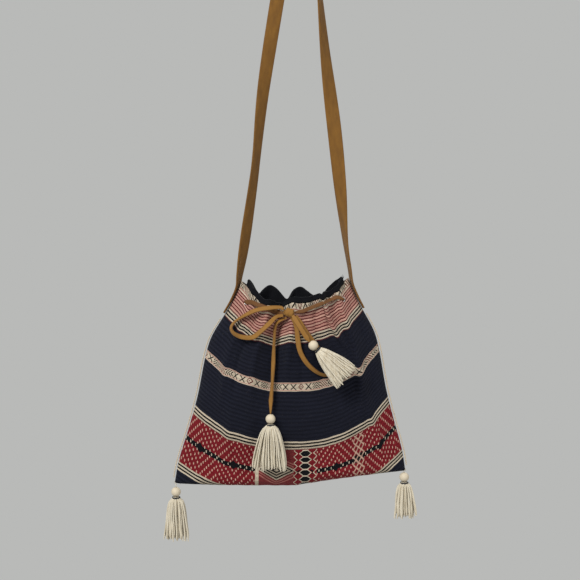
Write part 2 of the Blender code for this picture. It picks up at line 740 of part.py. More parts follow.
# The bow's loops: their start from the knot's middle, then places across the bag and
# down from its mouth with the distance in front of the cloth, and their end at the knot.
BOW = (
    (
        "bow_loop_left",
        (
            (-0.0074, -0.0018, 0.0036), (-0.012, 0.0050, 0.0092), (-0.026, 0.0055, 0.0090),
            (-0.043, 0.0085, 0.0086), (-0.060, 0.0165, 0.0086), (-0.071, 0.0240, 0.0090),
            (-0.0752, 0.0315, 0.0095), (-0.071, 0.0385, 0.0092), (-0.0600, 0.0425, 0.0086),
            (-0.0470, 0.0425, 0.0082), (-0.0370, 0.0350, 0.0082), (-0.0270, 0.0260, 0.0086),
            (-0.0175, 0.0170, 0.0086), (-0.0074, -0.0018, -0.0036),
        ),
        (20, 30, 30, 40, 70, 60, 20, -10, -20, -20, -10),
    ),
    (
        "bow_loop_right",
        (
            (0.0026, 0.0010, -0.0061), (0.0052, 0.0230, 0.0040), (0.0085, 0.0340, 0.0032),
            (0.0120, 0.0580, 0.0030), (0.0210, 0.0750, 0.0030), (0.0340, 0.0870, 0.0030),
            (0.0450, 0.0910, 0.0034), (0.0520, 0.0860, 0.0040), (0.0500, 0.0760, 0.0040),
            (0.0400, 0.0630, 0.0034), (0.0290, 0.0480, 0.0034), (0.0190, 0.0340, 0.0036),
            (0.0130, 0.0230, 0.0040), (0.0088, -0.0005, -0.0040),
        ),
        (0, 10, 10, 20, 50, 60, 20, 10, 0, 0),
    ),
)
# Tails with their bead and tassel: the same kind of places, the lace's turns, and the
# tassel's direction, its length from the top of its bead, its spread and its flatness.
TAILS = (
    (
        "long_tail",
        (
            (-0.0030, 0.0014, -0.0061), (-0.0175, 0.0260, 0.0056), (-0.0200, 0.0450, 0.0056),
            (-0.0212, 0.0750, 0.0056), (-0.0228, 0.1050, 0.0066), (-0.0242, 0.1230, 0.0078),
            (-0.0247, 0.1395, 0.0092),
        ),
        (40, 60, 64, 40, 60, 50, 0),
        (0, 0, -1), 0.0725, 0.0500, 0.42,
    ),
    (
        "short_tail",
        (
            (0.0046, -0.0036, -0.0034), (0.0110, 0.0270, 0.0120), (0.0190, 0.0395, 0.0140),
            (0.0245, 0.0478, 0.0150),
        ),
        (0, 0, 10, 0),
        (0.72, 0, -0.69), 0.0660, 0.0400, 0.44,
    ),
)
# Corner tassels: side, thread's length, lean to the right, and the sizes as above.
CORNERS = (
    ("left_corner", -1, 0.0050, 0.02, 0.0700, 0.0330, 0.62),
    ("right_corner", 1, 0.0022, 0.03, 0.0600, 0.0300, 0.62),
)


def make_corner_tassels():
    for prefix, side, thread, lean, length, spread, flat in CORNERS:
        seam = front_inner(side * math.pi / 2, 0.0)
        start = Vector((seam.x, 0.0, seam.z - PANEL_THICKNESS / 2 - SEWN_GAP))
        end = start - Vector((0, 0, thread))
        profile = [(THREAD_RADIUS, 0.0), (THREAD_RADIUS, thread)]
        turned(prefix + "_thread", start, (0, 0, -1), profile, 8, "yarn_cream")
        direction = Vector((lean, 0, -1)).normalized()
        make_tassel(prefix, end - Vector((0, 0, HANG_GAP)), direction, length, spread, flat)


def main():
    clear_scene()
    front = make_panel("front_panel", front_inner, FRONT_ROW)
    back = make_panel("back_panel", back_inner, BACK_ROW)
    lining = make_lining()
    for surface, panel, where in ((front_inner, front, "front"), (back_inner, back, "back")):
        for side, hand in ((-1, "left"), (1, "right")):
            hole = make_eyelet(f"eyelet_{where}_{hand}", surface, side)
            cut_hole(panel, hole)
            cut_hole(lining, hole)
    make_piping("left_piping", -1)
    make_piping("right_piping", 1)
    make_strap()
    make_laces()
    make_corner_tassels()


main()
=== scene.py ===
import math
import random

import bpy
import numpy as np
from mathutils import Matrix, Vector


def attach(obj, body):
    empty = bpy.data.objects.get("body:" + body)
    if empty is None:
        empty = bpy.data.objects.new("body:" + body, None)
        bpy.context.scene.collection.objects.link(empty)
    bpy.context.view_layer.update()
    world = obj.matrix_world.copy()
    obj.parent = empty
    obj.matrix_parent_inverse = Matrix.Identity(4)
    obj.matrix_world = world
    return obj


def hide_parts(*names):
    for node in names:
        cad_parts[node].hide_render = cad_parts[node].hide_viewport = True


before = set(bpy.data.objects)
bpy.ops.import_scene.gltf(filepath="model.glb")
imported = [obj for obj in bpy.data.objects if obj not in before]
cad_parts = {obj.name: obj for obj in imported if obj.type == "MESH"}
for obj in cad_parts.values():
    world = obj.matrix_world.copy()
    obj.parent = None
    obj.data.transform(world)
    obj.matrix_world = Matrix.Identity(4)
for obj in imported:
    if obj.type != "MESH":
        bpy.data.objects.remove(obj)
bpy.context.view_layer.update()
print("CAD parts loaded")

hang = Vector((0.0157, 0.0, 0.7830))  # the strap's resting point above the bag's base line
halfTurn, fullTurn = math.pi / 2, 2 * math.pi

# the bag's shape, in metres above its base line
bag = {
    "baseWidth": 0.2964,
    "mouthWidth": 0.1360,
    "mouthShift": 0.0065,
    "seamHeight": 0.2545,
    "seamTilt": 0.006,
    "cornerTilt": 0.0190,
    "leftRise": 0.0026,
    "sideDrop": 0.1532 * 0.2545,
    "backDip": 0.082 * 0.2545,
    "sewnGap": 0.0003,
    "rollRadius": 0.0130,
    "frontDepth": 0.0310,
    "backDepth": 0.0260,
    "frontSwell": 0.075,
    "backSwell": 0.090,
    "gatherStart": 0.30,
    "thickness": 0.0016,  # room for the cloth between the surface and what lies on it
    "visibleThickness": 0.0014,
}
# shares of the seam's height: navy, lines, figures, lines, navy, strip, navy, lines, stripes, strip
bandShares = (0.06483, 0.03929, 0.23772, 0.04126, 0.25344, 0.04519, 0.19843, 0.03929, 0.11395, 0.04322)
bandEdges = [0.0]
for share in bandShares:
    bandEdges.append(bandEdges[-1] + share * bag["seamHeight"])
clothHeight = bandEdges[-1]
mouthZ = clothHeight - bag["sideDrop"]
taper = (
    (0.0, 1.0), (0.1, 0.94), (0.25, 0.79), (0.4, 0.66), (0.6, 0.54),
    (0.7, 0.45), (0.82, 0.25), (0.92, 0.09), (1.0, 0.0), (1.05, -0.03),
)
fullness = ((0.0, 0.45), (0.2, 0.60), (0.4, 0.82), (0.65, 0.95), (0.85, 1.0), (1.05, 1.0))
gathers = {  # place across, half width, out, up
    "front": (
        (-0.60, 0.17, 0.0050, -0.010), (-0.31, 0.15, -0.0070, -0.008), (0.16, 0.20, 0.0025, 0.0),
        (0.50, 0.11, 0.0035, 0.002), (0.67, 0.09, -0.0035, -0.003),
    ),
    "back": (
        (-0.72, 0.10, -0.0030, -0.010), (-0.46, 0.12, 0.0045, 0.005), (-0.16, 0.11, -0.0065, -0.011),
        (0.10, 0.13, 0.0045, 0.006), (0.46, 0.20, -0.0045, -0.010),
    ),
}
creases = {  # across and height at its top and its foot, half width, how far out, and how far up
    "front": (
        (0.50, 1.04, 0.70, 0.70, 0.034, 0.0052, -0.0042),
        (0.61, 1.00, 0.80, 0.66, 0.045, -0.0030, 0.0),
        (-0.80, 0.97, -0.77, 0.36, 0.045, 0.0040, -0.0028),
        (-0.66, 0.90, -0.66, 0.42, 0.045, -0.0040, 0.0),
        (-0.50, 0.98, -0.46, 0.45, 0.050, 0.0044, 0.0014),
        (-0.24, 1.00, -0.28, 0.46, 0.065, -0.0056, -0.0016),
        (-0.03, 1.02, -0.08, 0.60, 0.050, 0.0040, 0.0016),
        (0.12, 0.86, 0.10, 0.50, 0.060, -0.0026, 0.0),
        (0.33, 0.98, 0.36, 0.54, 0.050, -0.0034, 0.0010),
        (0.52, 0.80, 0.50, 0.42, 0.045, -0.0030, 0.0),
        (0.80, 0.95, 0.74, 0.28, 0.045, 0.0046, -0.0036),
        (0.91, 0.92, 0.87, 0.40, 0.030, -0.0022, 0.0),
        (-0.66, 0.44, -0.62, 0.10, 0.070, 0.0026, -0.0022),
        (-0.36, 0.40, -0.42, 0.08, 0.070, -0.0020, 0.0),
        (0.80, 0.56, 0.86, 0.10, 0.042, 0.0036, -0.0042),
        (0.40, 0.40, 0.48, 0.08, 0.080, -0.0018, 0.0),
    ),
    "back": (
        (-0.74, 1.00, -0.70, 0.45, 0.055, 0.0030, -0.0016),
        (-0.36, 1.00, -0.40, 0.55, 0.055, -0.0028, 0.0),
        (-0.02, 1.00, -0.05, 0.50, 0.055, 0.0028, 0.0012),
        (0.28, 1.00, 0.30, 0.50, 0.050, -0.0026, 0.0),
        (0.58, 1.00, 0.62, 0.40, 0.050, 0.0030, -0.0014),
        (0.82, 0.95, 0.80, 0.45, 0.040, -0.0018, 0.0),
    ),
}


def eased(table, where):
    # a smooth curve through a table of pairs
    xs, ys = (np.array(column) for column in zip(*table))
    slopes = np.empty(len(xs))
    slopes[1:-1] = (ys[2:] - ys[:-2]) / (xs[2:] - xs[:-2])
    slopes[0] = (ys[1] - ys[0]) / (xs[1] - xs[0])
    slopes[-1] = (ys[-1] - ys[-2]) / (xs[-1] - xs[-2])
    where = np.clip(where, xs[0], xs[-1])
    i = np.clip(np.searchsorted(xs, where, side="right") - 1, 0, len(xs) - 2)
    span = xs[i + 1] - xs[i]
    t = (where - xs[i]) / span
    start = (2 * t**3 - 3 * t**2 + 1) * ys[i] + (t**3 - 2 * t**2 + t) * span * slopes[i]
    return start + (3 * t**2 - 2 * t**3) * ys[i + 1] + (t**3 - t**2) * span * slopes[i + 1]


def smoothStep(t):
    t = np.clip(t, 0.0, 1.0)
    return t * t * (3 - 2 * t)


def halfWidth(height):
    spread = bag["baseWidth"] - bag["mouthWidth"]
    return (bag["mouthWidth"] + spread * eased(taper, height / clothHeight)) / 2


def middleX(height):
    return bag["mouthShift"] * (1 - eased(taper, height / clothHeight))


def baseEdge(across):
    rise = np.maximum((across - 0.05) / 0.95, 0.0) ** 0.9
    return bag["cornerTilt"] * rise + bag["leftRise"] * np.maximum(-across, 0.0) ** 4


def seamShare(height):
    t = height / clothHeight
    return t + 0.03 * np.sin(np.pi * np.minimum(t, 1.0))


def hangShare(across):
    return 1 - np.abs(across) ** 2.5


def sideZ(across, height):
    # between the heights of the two side seams, of which the left one is longer
    left = baseEdge(-1.0) + (bag["seamHeight"] + bag["seamTilt"]) * seamShare(height)
    right = baseEdge(1.0) + (bag["seamHeight"] - bag["seamTilt"]) * seamShare(height)
    return left + (right - left) * (across + 1) / 2


def straightZ(across, height):
    hanging = hangShare(across)
    return sideZ(across, height) * (1 - hanging) + (height - bag["sideDrop"]) * hanging


def rollTop(across):
    # the height up the cloth at which its roll under the bag begins, found by halving
    radius = bag["rollRadius"] * np.sqrt(hangShare(across))
    target = baseEdge(across) + radius
    low, high = np.zeros_like(across), np.full_like(across, clothHeight / 2)
    for _ in range(24):
        middle = (low + high) / 2
        under = straightZ(across, middle) < target
        low, high = np.where(under, middle, low), np.where(under, high, middle)
    return high, radius


def folded(side, across, height, fine):
    # how far the gathers, and the narrow creases that run up the cloth, push it out and up
    out = up = np.zeros_like(across * height)
    share = height / clothHeight
    strength = smoothStep((share - bag["gatherStart"]) / (1 - bag["gatherStart"]))
    for place, spread, outward, upward in gathers[side]:
        bump = np.exp(-(((across - place) / spread) ** 2)) * strength
        out, up = out + outward * bump, up + upward * bump * strength**2
    for topAcross, topShare, lowAcross, lowShare, width, outward, upward in creases[side] if fine else ():
        t = (share - lowShare) / (topShare - lowShare)
        line = lowAcross + (topAcross - lowAcross) * t
        fade = smoothStep(t / 0.35) * smoothStep((1.6 - t) / 0.5)
        bump = fade / (1 + ((across - line) / width) ** 2) ** 1.5
        out, up = out + outward * bump, up + upward * bump
    return out, up


def panelPlaces(side, angle, height, fine):
    # what both panels share
    angle, height = np.broadcast_arrays(np.float64(angle), np.float64(height))
    across, bulge = np.sin(angle), np.maximum(np.cos(angle), 0.0)
    x = middleX(height) + halfWidth(height) * across
    return height, across, bulge, x, *folded(side, across, height, fine)


def frontSurface(angle, height, fine=True):
    height, across, bulge, x, out, up = panelPlaces("front", angle, height, fine)
    top, radius = rollTop(across)
    grow = smoothStep((height - top) / bag["frontSwell"])
    full = bag["frontDepth"] * eased(fullness, height / clothHeight)
    depth = radius + (full * bulge - radius) * grow
    upperY = -bag["sewnGap"] / 2 - depth - out * bulge**0.5
    upperZ = straightZ(across, height) + up
    turn = np.minimum((top - height) / np.maximum(radius, 1e-6), np.pi)
    rest = np.maximum(top - height - np.pi * radius, 0.0)
    lowerY = -bag["sewnGap"] / 2 - radius * np.cos(turn)
    lowerZ = baseEdge(across) + radius - radius * np.sin(turn) + rest
    above = height >= top
    return np.stack([x, np.where(above, upperY, lowerY), np.where(above, upperZ, lowerZ)], axis=-1)


def backSurface(angle, height, fine=True):
    height, across, bulge, x, out, up = panelPlaces("back", angle, height, fine)
    seam = frontSurface(angle, np.zeros_like(height))
    grow = smoothStep(height / bag["backSwell"])
    start = np.maximum(seam[..., 1], bag["sewnGap"] / 2)
    full = bag["sewnGap"] / 2 + bag["backDepth"] * eased(fullness, height / clothHeight) * bulge
    depth = start + (full - start) * grow
    top = sideZ(across, clothHeight) - bag["backDip"] * hangShare(across)
    foot = seam[..., 2] + bag["sewnGap"]
    z = foot + (top - foot) * seamShare(height)
    return np.stack([x, depth + out * bulge**0.5, z + up], axis=-1)


normalStep = {"angle": 0.02, "height": 0.0006}


def clothNormal(surface, angle, height):
    step, rise = normalStep["angle"], normalStep["height"]
    lo, hi = np.maximum(angle - step, -halfTurn), np.minimum(angle + step, halfTurn)
    along = surface(hi, height) - surface(lo, height)
    upward = surface(angle, height + rise) - surface(angle, np.maximum(height - rise, 0.0))
    normal = np.cross(along, upward) * (-1 if surface is backSurface else 1)
    return normal / np.linalg.norm(normal, axis=-1, keepdims=True)


def onCloth(surface, angle, height, offset):
    angle, height = np.broadcast_arrays(np.float64(angle), np.float64(height))
    return surface(angle, height) + clothNormal(surface, angle, height) * np.asarray(offset)[..., None]


def clothY(x, z):
    # the front cloth's y at a place in the view
    height, across = clothHeight * 0.5, 0.0
    heights = np.linspace(0.02, clothHeight * 1.03, 160)
    for _ in range(8):
        across = float(np.clip((x - middleX(height)) / halfWidth(height), -0.98, 0.98))
        height = float(np.interp(z, frontSurface(math.asin(across), heights, False)[:, 2], heights))
    return float(frontSurface(math.asin(across), height, False)[1])


def inFront(x, below, lift):
    # the same places as the CAD laces: across, down from the mouth, and in front of the cloth
    z = mouthZ - below
    return Vector((x, clothY(x, z) - bag["thickness"] - lift, z))


print("Bag's shape worked out")

view = {"distance": 1.40, "width": 0.754, "sensor": 36.0, "middleZ": 0.2522, "reach": 30.0}
cameraPlace = Vector((0.0, -view["distance"], view["middleZ"])) - hang
bpy.ops.object.select_all(action="DESELECT")
bpy.ops.object.camera_add(location=cameraPlace, rotation=(halfTurn, 0.0, 0.0))
camera = bpy.context.object
camera.name = "straightOnCamera"
camera.data.sensor_width = camera.data.sensor_height = view["sensor"]
camera.data.lens = view["sensor"] * view["distance"] / view["width"]
camera.data.clip_end = view["reach"]
bpy.context.scene.camera = camera
print("Camera set")

# what the materials are made with
paint = {}  # the node tree and the shader's inputs of the material that is being made


class Signal:
    # a value in the node tree: arithmetic on signals adds the nodes that work it out
    def __init__(self, socket):
        self.socket = socket

    __add__ = __radd__ = lambda a, b: maths("ADD", a, b)
    __sub__ = lambda a, b: maths("SUBTRACT", a, b)
    __rsub__ = lambda a, b: maths("SUBTRACT", b, a)
    __mul__ = __and__ = lambda a, b: maths("MULTIPLY", a, b)
    __truediv__ = lambda a, b: maths("DIVIDE", a, b)
    __mod__ = lambda a, b: maths("FLOORED_MODULO", a, b)
    __pow__ = lambda a, b: maths("POWER", a, b)
    __lt__ = lambda a, b: maths("LESS_THAN", a, b)
    __gt__ = lambda a, b: maths("GREATER_THAN", a, b)
    __or__ = lambda a, b: maths("MAXIMUM", a, b)
    __abs__ = lambda a: maths("ABSOLUTE", a)


def feed(socket, value):
    # a signal is linked, and a plain number or colour is set on the socket
    if isinstance(value, Signal):
        paint["tree"].links.new(value.socket, socket)
    else:
        socket.default_value = (*value, 1.0) if isinstance(value, tuple) else value


def newNode(kind, **settings):
    node = paint["tree"].nodes.new("ShaderNode" + kind)
    for name, value in settings.items():
        setattr(node, name, value)
    return node


def maths(operation, *values):
    node = newNode("Math", operation=operation)
    for socket, value in zip(node.inputs, values):
        feed(socket, value)
    return Signal(node.outputs[0])


def fract(value):
    return maths("FRACT", value)


def sine(value, pitch):
    return maths("SINE", value * (fullTurn / pitch))


def within(value, low, high):
    return (value > low) & (value < high)


def near(value, target, reach=0.5):
    return abs(value - target) < reach


def mixed(share, under, over):
    # one colour laid over another by a share
    node = newNode("Mix", data_type="RGBA")
    for i, value in ((0, share), (6, under), (7, over)):
        feed(node.inputs[i], value)
    return Signal(node.outputs[2])


def noise(place, scale, detail=2.0, roughness=0.5):
    mapping, texture = newNode("Mapping"), newNode("TexNoise")
    mapping.inputs["Scale"].default_value = scale
    feed(mapping.inputs["Vector"], place)
    for name, value in (("Scale", 1.0), ("Detail", detail), ("Roughness", roughness)):
        feed(texture.inputs[name], value)
    feed(texture.inputs["Vector"], Signal(mapping.outputs[0]))
    return Signal(texture.outputs["Fac"])


def coordinates(output="UV"):
    return Signal(newNode("TexCoord").outputs[output])


def apart(place):
    split = newNode("SeparateXYZ")
    feed(split.inputs[0], place)
    return [Signal(axis) for axis in split.outputs]


def lay(name, value):
    feed(paint["inputs"][name], value)


def bumped(height, distance, strength):
    bump = newNode("Bump")
    for name, value in (("Strength", strength), ("Distance", distance), ("Height", height)):
        feed(bump.inputs[name], value)
    lay("Normal", Signal(bump.outputs[0]))


def newMaterial(name, roughness, colour=(0.5, 0.5, 0.5), specular=0.5, sheen=0.0):
    made = bpy.data.materials.new(name)
    made.use_nodes = True
    paint["tree"] = made.node_tree
    paint["inputs"] = made.node_tree.nodes["Principled BSDF"].inputs
    lay("Base Color", colour)
    lay("Roughness", roughness)
    lay("Specular IOR Level", specular)
    lay("Sheen Weight", sheen)
    return made


weave = {
    "navy": (0.0042, 0.0048, 0.0095),
    "navyPale": (0.0125, 0.0140, 0.0250),
    "black": (0.0045, 0.0045, 0.0060),
    "cream": (0.520, 0.440, 0.330),
    "red": (0.165, 0.0095, 0.0145),
    "maroon": (0.110, 0.020, 0.020),
    "pink": (0.500, 0.285, 0.220),
    "rose": (0.360, 0.130, 0.110),
    "brick": (0.175, 0.028, 0.030),
    "faded": (0.470, 0.300, 0.225),
    "dot": (0.500, 0.315, 0.240),
    "lines": 5.0,  # how many in each band of lines, cream and black by turns
    "stripes": 7.5,
    "cell": (0.0027, 0.00356),  # one woven step of the figures, across and up
    "dotHalf": (0.30, 0.44),  # shares of a cell
    "period": 18.0,  # cells from one black diamond to the next
    "coreHalf": 0.0030,  # of the black chain along the band's middle
    "chainHeart": (2.7, 0.0056),
    "nestField": (-0.0420, 0.0035),  # where each field begins and ends, round the bag from its middle
    "nestAt": (-0.0186, 0.0020),
    "nestHalf": (0.0225, 0.0105),
    "nestRings": 3.0,
    "nestEdge": 1.17,  # the diamonds' outer edge and the dotted ground's, in half sizes
    "groundEdge": 2.0,
    "linkField": (0.0035, 0.0335),
    "linkAt": 0.0185,
    "linkPitch": 0.0084,
    "linkSlope": 0.0104,
    "linkHalf": (0.0070, 0.0086),  # of a link's black heart, and with its cream edge
    "heartTall": 0.40,
    "teeth": (0.0100, 0.0130),
    "zigzagSlope": 0.0090,
    "zigzag": (0.0098, 0.0112),
    "lattice": (0.0830, 0.0990),
    "latticeSlope": 0.84,
    "latticePitch": 0.0078,
    "latticeBar": 0.27,
    "latticeBlack": 0.0045,
    "bar": (-0.0460, -0.0415, 0.036),
    "stripCell": 0.0108,  # one figure of the narrow strips
    "stripMiddle": 0.52,  # shares of a strip's height, as are the sizes of its figures
    "crossHalf": 0.085,
    "ring": (0.34, 0.075),
    "ringDot": 0.10,
    "arrows": 3.6,  # arrows and slanting lines to the height
    "slants": 3.2,
    "lineShare": 0.46,
    "markReach": 0.34,
    "topEdge": (0.37, 0.44),
    "lowEdge": (-0.42, -0.36),
    "warpPitch": 0.00085,
    "weftPitch": 0.00105,
    "ribPitch": 0.0052,
}


def figureBand(u, v):
    # the broad red band
    red, black, cream = weave["red"], weave["black"], weave["cream"]
    low, high = bandEdges[2:4]
    middle = (low + high) / 2
    offMiddle = abs(v - middle)
    core = offMiddle < weave["coreHalf"]
    cellU, cellV = u / weave["cell"][0], (v - low) / weave["cell"][1]
    start = (u > 0.0) * 4.0 + 1.0 - (u > weave["lattice"][1]) * 6.0

    def wave(place):
        # how far a place is from the nearest diamond's middle
        return abs((place + start) % weave["period"] - weave["period"] / 2)

    # dotted lines ringed about black diamonds, over red and over the black chain that joins them
    dotU, dotV = ((fract(cell) - 0.5) / half for cell, half in zip((cellU, cellV), weave["dotHalf"]))
    chevron = (wave(maths("FLOOR", cellU)) + abs(maths("FLOOR", cellV) - 8.0)) % 3.0
    dots = (chevron < 0.5) & (dotU**2.0 + dotV**2.0 < 1.0)
    chain = mixed(dots, mixed(core, red, black), mixed(core, weave["dot"], cream))
    heart = wave(cellU) / weave["chainHeart"][0] + offMiddle / weave["chainHeart"][1]
    chain = mixed(heart < 1.0, chain, black)

    # a nest of diamonds over a dotted rose ground
    wide, tall = abs(u - weave["nestAt"][0]), abs(v - (middle + weave["nestAt"][1]))
    nest = wide / weave["nestHalf"][0] + tall / weave["nestHalf"][1]
    rings = fract(nest * weave["nestRings"]) < 0.5
    ground = mixed(rings & (nest < weave["groundEdge"]), weave["brick"], weave["rose"])
    diamonds = mixed(nest < weave["nestEdge"], ground, mixed(rings, black, cream))

    # a column of six-sided links, with zigzags beside it
    column = abs(u - weave["linkAt"])
    rise = abs(fract((v - low) / weave["linkPitch"]) - 0.5)
    slant = column + rise * weave["linkSlope"]
    links = mixed(core & within(slant, *weave["teeth"]), red, black)
    links = mixed(within(column - rise * weave["zigzagSlope"], *weave["zigzag"]), links, cream)
    links = mixed(slant < weave["linkHalf"][1], links, cream)
    links = mixed((slant < weave["linkHalf"][0]) & (rise < weave["heartTall"]), links, black)

    # a cream lattice
    slope = v * weave["latticeSlope"]
    bars = [fract(way / weave["latticePitch"]) < weave["latticeBar"] for way in (u + slope, u - slope)]
    lattice = mixed(bars[0] | bars[1], mixed(offMiddle < weave["latticeBlack"], red, black), weave["faded"])

    figures = chain
    for field, drawn in (("nestField", diamonds), ("linkField", links), ("lattice", lattice)):
        figures = mixed(within(u, *weave[field]), figures, drawn)
    left, right, tallest = weave["bar"]
    return mixed(within(u, left, right) & (v < low + tallest), figures, cream)


def narrowStrip(u, v, low, high, start):
    # small crosses, diamonds, arrows and slanting lines
    along = (u + start) / weave["stripCell"]
    kind = maths("FLOOR", along) % 7.0
    a, b = fract(along) - 0.5, (v - low) / (high - low) - weave["stripMiddle"]
    sizeA, sizeB = abs(a), abs(b)
    total = sizeA + sizeB
    mark = abs(sizeA - sizeB) < weave["crossHalf"]
    ring = near(total, *weave["ring"]) | (total < weave["ringDot"])
    arrows = fract((b + sizeA) * weave["arrows"]) < weave["lineShare"]
    slants = fract((a + b) * weave["slants"]) < weave["lineShare"]
    peaks = fract((sizeB - a) * weave["slants"]) < weave["lineShare"]
    for number, shape in ((1.0, ring), (3.0, arrows), (4.0, slants), (5.0, peaks)):
        chosen = near(kind, number)
        mark = (mark & (1.0 - chosen)) + (shape & chosen)
    ink = mixed(near(kind % 3.0, 1.0), weave["black"], weave["maroon"])
    drawn = mixed(mark & within(b, -weave["markReach"], weave["markReach"]), weave["cream"], ink)
    return mixed(within(b, *weave["topEdge"]) | within(b, *weave["lowEdge"]), drawn, weave["rose"])


def bandedWeave():
    # the whole cloth in one material: u is metres round the bag, v metres up the cloth
    made = newMaterial("bandedWeave", 0.9, specular=0.10, sheen=0.03)
    uv = coordinates()
    rawU, rawV, _ = apart(uv)
    wander = noise(uv, (55.0, 55.0, 1.0))
    fray = noise(uv, (900.0, 500.0, 1.0), 1.0)
    u = rawU + (fray - 0.5) * 0.0007
    v = rawV + (wander - 0.5) * 0.0016

    ribLine = maths("MINIMUM", 1.0, abs(fract(v / weave["ribPitch"]) - 0.5) * 2.2)
    colour = mixed(ribLine * 0.9, weave["navy"], weave["navyPale"])
    share = (v - bandEdges[8]) * (weave["stripes"] / (bandEdges[9] - bandEdges[8]))
    stripes = mixed(fract(share * 0.5) > 0.5, weave["pink"], weave["rose"])
    stripes = mixed(0.55, stripes, weave["pink"])
    fields = {
        2: figureBand(u, v),
        5: narrowStrip(u, v, bandEdges[5], bandEdges[6], 0.004),
        8: mixed(fract(share) < 0.40, stripes, weave["maroon"]),
        9: narrowStrip(u, v, bandEdges[9], bandEdges[10] + 0.01, 0.007),
    }
    for number in (1, 3, 7):
        low, high = bandEdges[number : number + 2]
        odd = (v - low) * (weave["lines"] / (high - low)) % 2.0 > 1.0
        fields[number] = mixed(odd, weave["cream"], weave["black"])
    for number, field in sorted(fields.items()):
        over = 0.02 if number == 9 else 0
        colour = mixed(within(v, bandEdges[number], bandEdges[number + 1] + over), colour, field)
    for edge in (bandEdges[3], bandEdges[7]):  # a dark red pick beside the lines
        colour = mixed(near(v, edge - 0.0004, 0.0006), colour, weave["maroon"])

    # threads: shade by thread, worn pale flecks, and the weave's relief
    threads = sine(rawU, weave["warpPitch"]) * sine(rawV, weave["weftPitch"])
    flecks = noise(uv, (1150.0, 620.0, 1.0), 3.0, 0.7)
    cloudy = noise(uv, (28.0, 40.0, 1.0), 3.0)
    shade = (flecks - 0.5) * 0.85 + (cloudy - 0.5) * 0.45 + threads * 0.13 + 1.0
    toned = newNode("VectorMath", operation="SCALE")
    feed(toned.inputs[0], colour)
    feed(toned.inputs["Scale"], maths("MAXIMUM", shade, 0.3))
    lay("Base Color", mixed((flecks > 0.66) * 0.10, Signal(toned.outputs[0]), weave["cream"]))
    relief = threads * 0.22 + flecks * 0.45 + sine(rawV, weave["ribPitch"]) * 0.50
    bumped(relief, 0.0007, 0.8)
    return made


# making meshes
smoothing = {"band": 60.0, "tube": 80.0, "turned": 35.0}  # edges that bend less are smooth, in degrees


def unit(vectors):
    return vectors / np.linalg.norm(vectors, axis=-1, keepdims=True)


def distancesAlong(path):
    return np.concatenate([[0], np.cumsum(np.linalg.norm(np.diff(path, axis=0), axis=1))])


def cleaned(obj, smooth, merged=False, capped=False):
    # joins points that coincide, closes open ends, and turns every face outward
    bpy.ops.object.mode_set(mode="EDIT")
    bpy.ops.mesh.select_all(action="SELECT")
    if merged:
        bpy.ops.mesh.remove_doubles(threshold=1e-6)
    if capped:
        bpy.ops.mesh.select_all(action="DESELECT")
        bpy.ops.mesh.select_non_manifold(
            use_wire=False, use_multi_face=False, use_non_contiguous=False, use_verts=False
        )
        bpy.ops.mesh.fill_holes(sides=0)
        bpy.ops.mesh.select_all(action="SELECT")
    bpy.ops.mesh.normals_make_consistent(inside=False)
    bpy.ops.object.mode_set(mode="OBJECT")
    bpy.ops.object.shade_smooth_by_angle(angle=math.radians(smooth))
    return obj


def openGrid(name, points, uvs=None):
    # a grid whose points are laid where they belong: points are rows, columns, xyz above the base line
    rows, columns = points.shape[:2]
    bpy.ops.object.select_all(action="DESELECT")
    bpy.ops.mesh.primitive_grid_add(
        x_subdivisions=columns - 1, y_subdivisions=rows - 1, size=1.0, calc_uvs=True
    )
    obj = bpy.context.object
    obj.name = obj.data.name = name
    mesh = obj.data
    flat = np.empty(len(mesh.vertices) * 3)
    mesh.vertices.foreach_get("co", flat)
    flat = flat.reshape(-1, 3)
    column = np.rint((flat[:, 0] + 0.5) * (columns - 1)).astype(int)
    row = np.rint((flat[:, 1] + 0.5) * (rows - 1)).astype(int)
    mesh.vertices.foreach_set("co", (points[row, column] - np.array(hang)).ravel())
    if uvs is not None:
        corner = np.empty(len(mesh.loops), dtype=int)
        mesh.loops.foreach_get("vertex_index", corner)
        mesh.uv_layers[0].data.foreach_set("uv", uvs[row[corner], column[corner]].ravel())
    mesh.update()
    return obj


def closedGrid(name, points, smooth, uvs=None, capped=True):
    return cleaned(openGrid(name, points, uvs), smooth, merged=True, capped=capped)


def gridUvs(u, v):
    return np.stack(np.broadcast_arrays(u[None, :], v[:, None]), axis=-1)


def finished(obj, made, body, slot, *nodes):
    # its material, the body that it rides on, its slot, which is not used, and the CAD solids that it stands
    # for
    obj.data.materials.clear()
    obj.data.materials.append(made)
    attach(obj, body)
    if nodes:
        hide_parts(*nodes)
    return obj


def smoothCurve(route, count):
    # a curve through the route's places, at even steps
    points = np.array([tuple(p) for p in route], dtype=float)
    ends = np.vstack([2 * points[0] - points[1], points, 2 * points[-1] - points[-2]])
    dense = []
    for i in range(1, len(ends) - 2):
        a, b, c, d = ends[i - 1 : i + 3]
        t = np.linspace(0, 1, 16, endpoint=False)[:, None]
        square = (2 * a - 5 * b + 4 * c - d) * t**2
        cube = (3 * b - a - 3 * c + d) * t**3
        dense.append(0.5 * (2 * b + (c - a) * t + square + cube))
    dense = np.vstack(dense + [points[-1:]])
    lengths = distancesAlong(dense)
    where = np.linspace(0, lengths[-1], count)
    return np.stack([np.interp(where, lengths, dense[:, k]) for k in range(3)], axis=1)


def bandOutline():
    # the section of a flat band with rounded edges, as a closed ring
    face = 0.94
    outline = []
    for side in (1, -1):
        for a in np.linspace(-halfTurn, halfTurn, 5):
            outline.append((side * (0.90 + 0.10 * math.cos(a)), side * math.sin(a) * face))
        outline += [(side * u, side * face) for u in (0.45, 0.0, -0.45)]
    return np.array(outline + outline[:1])


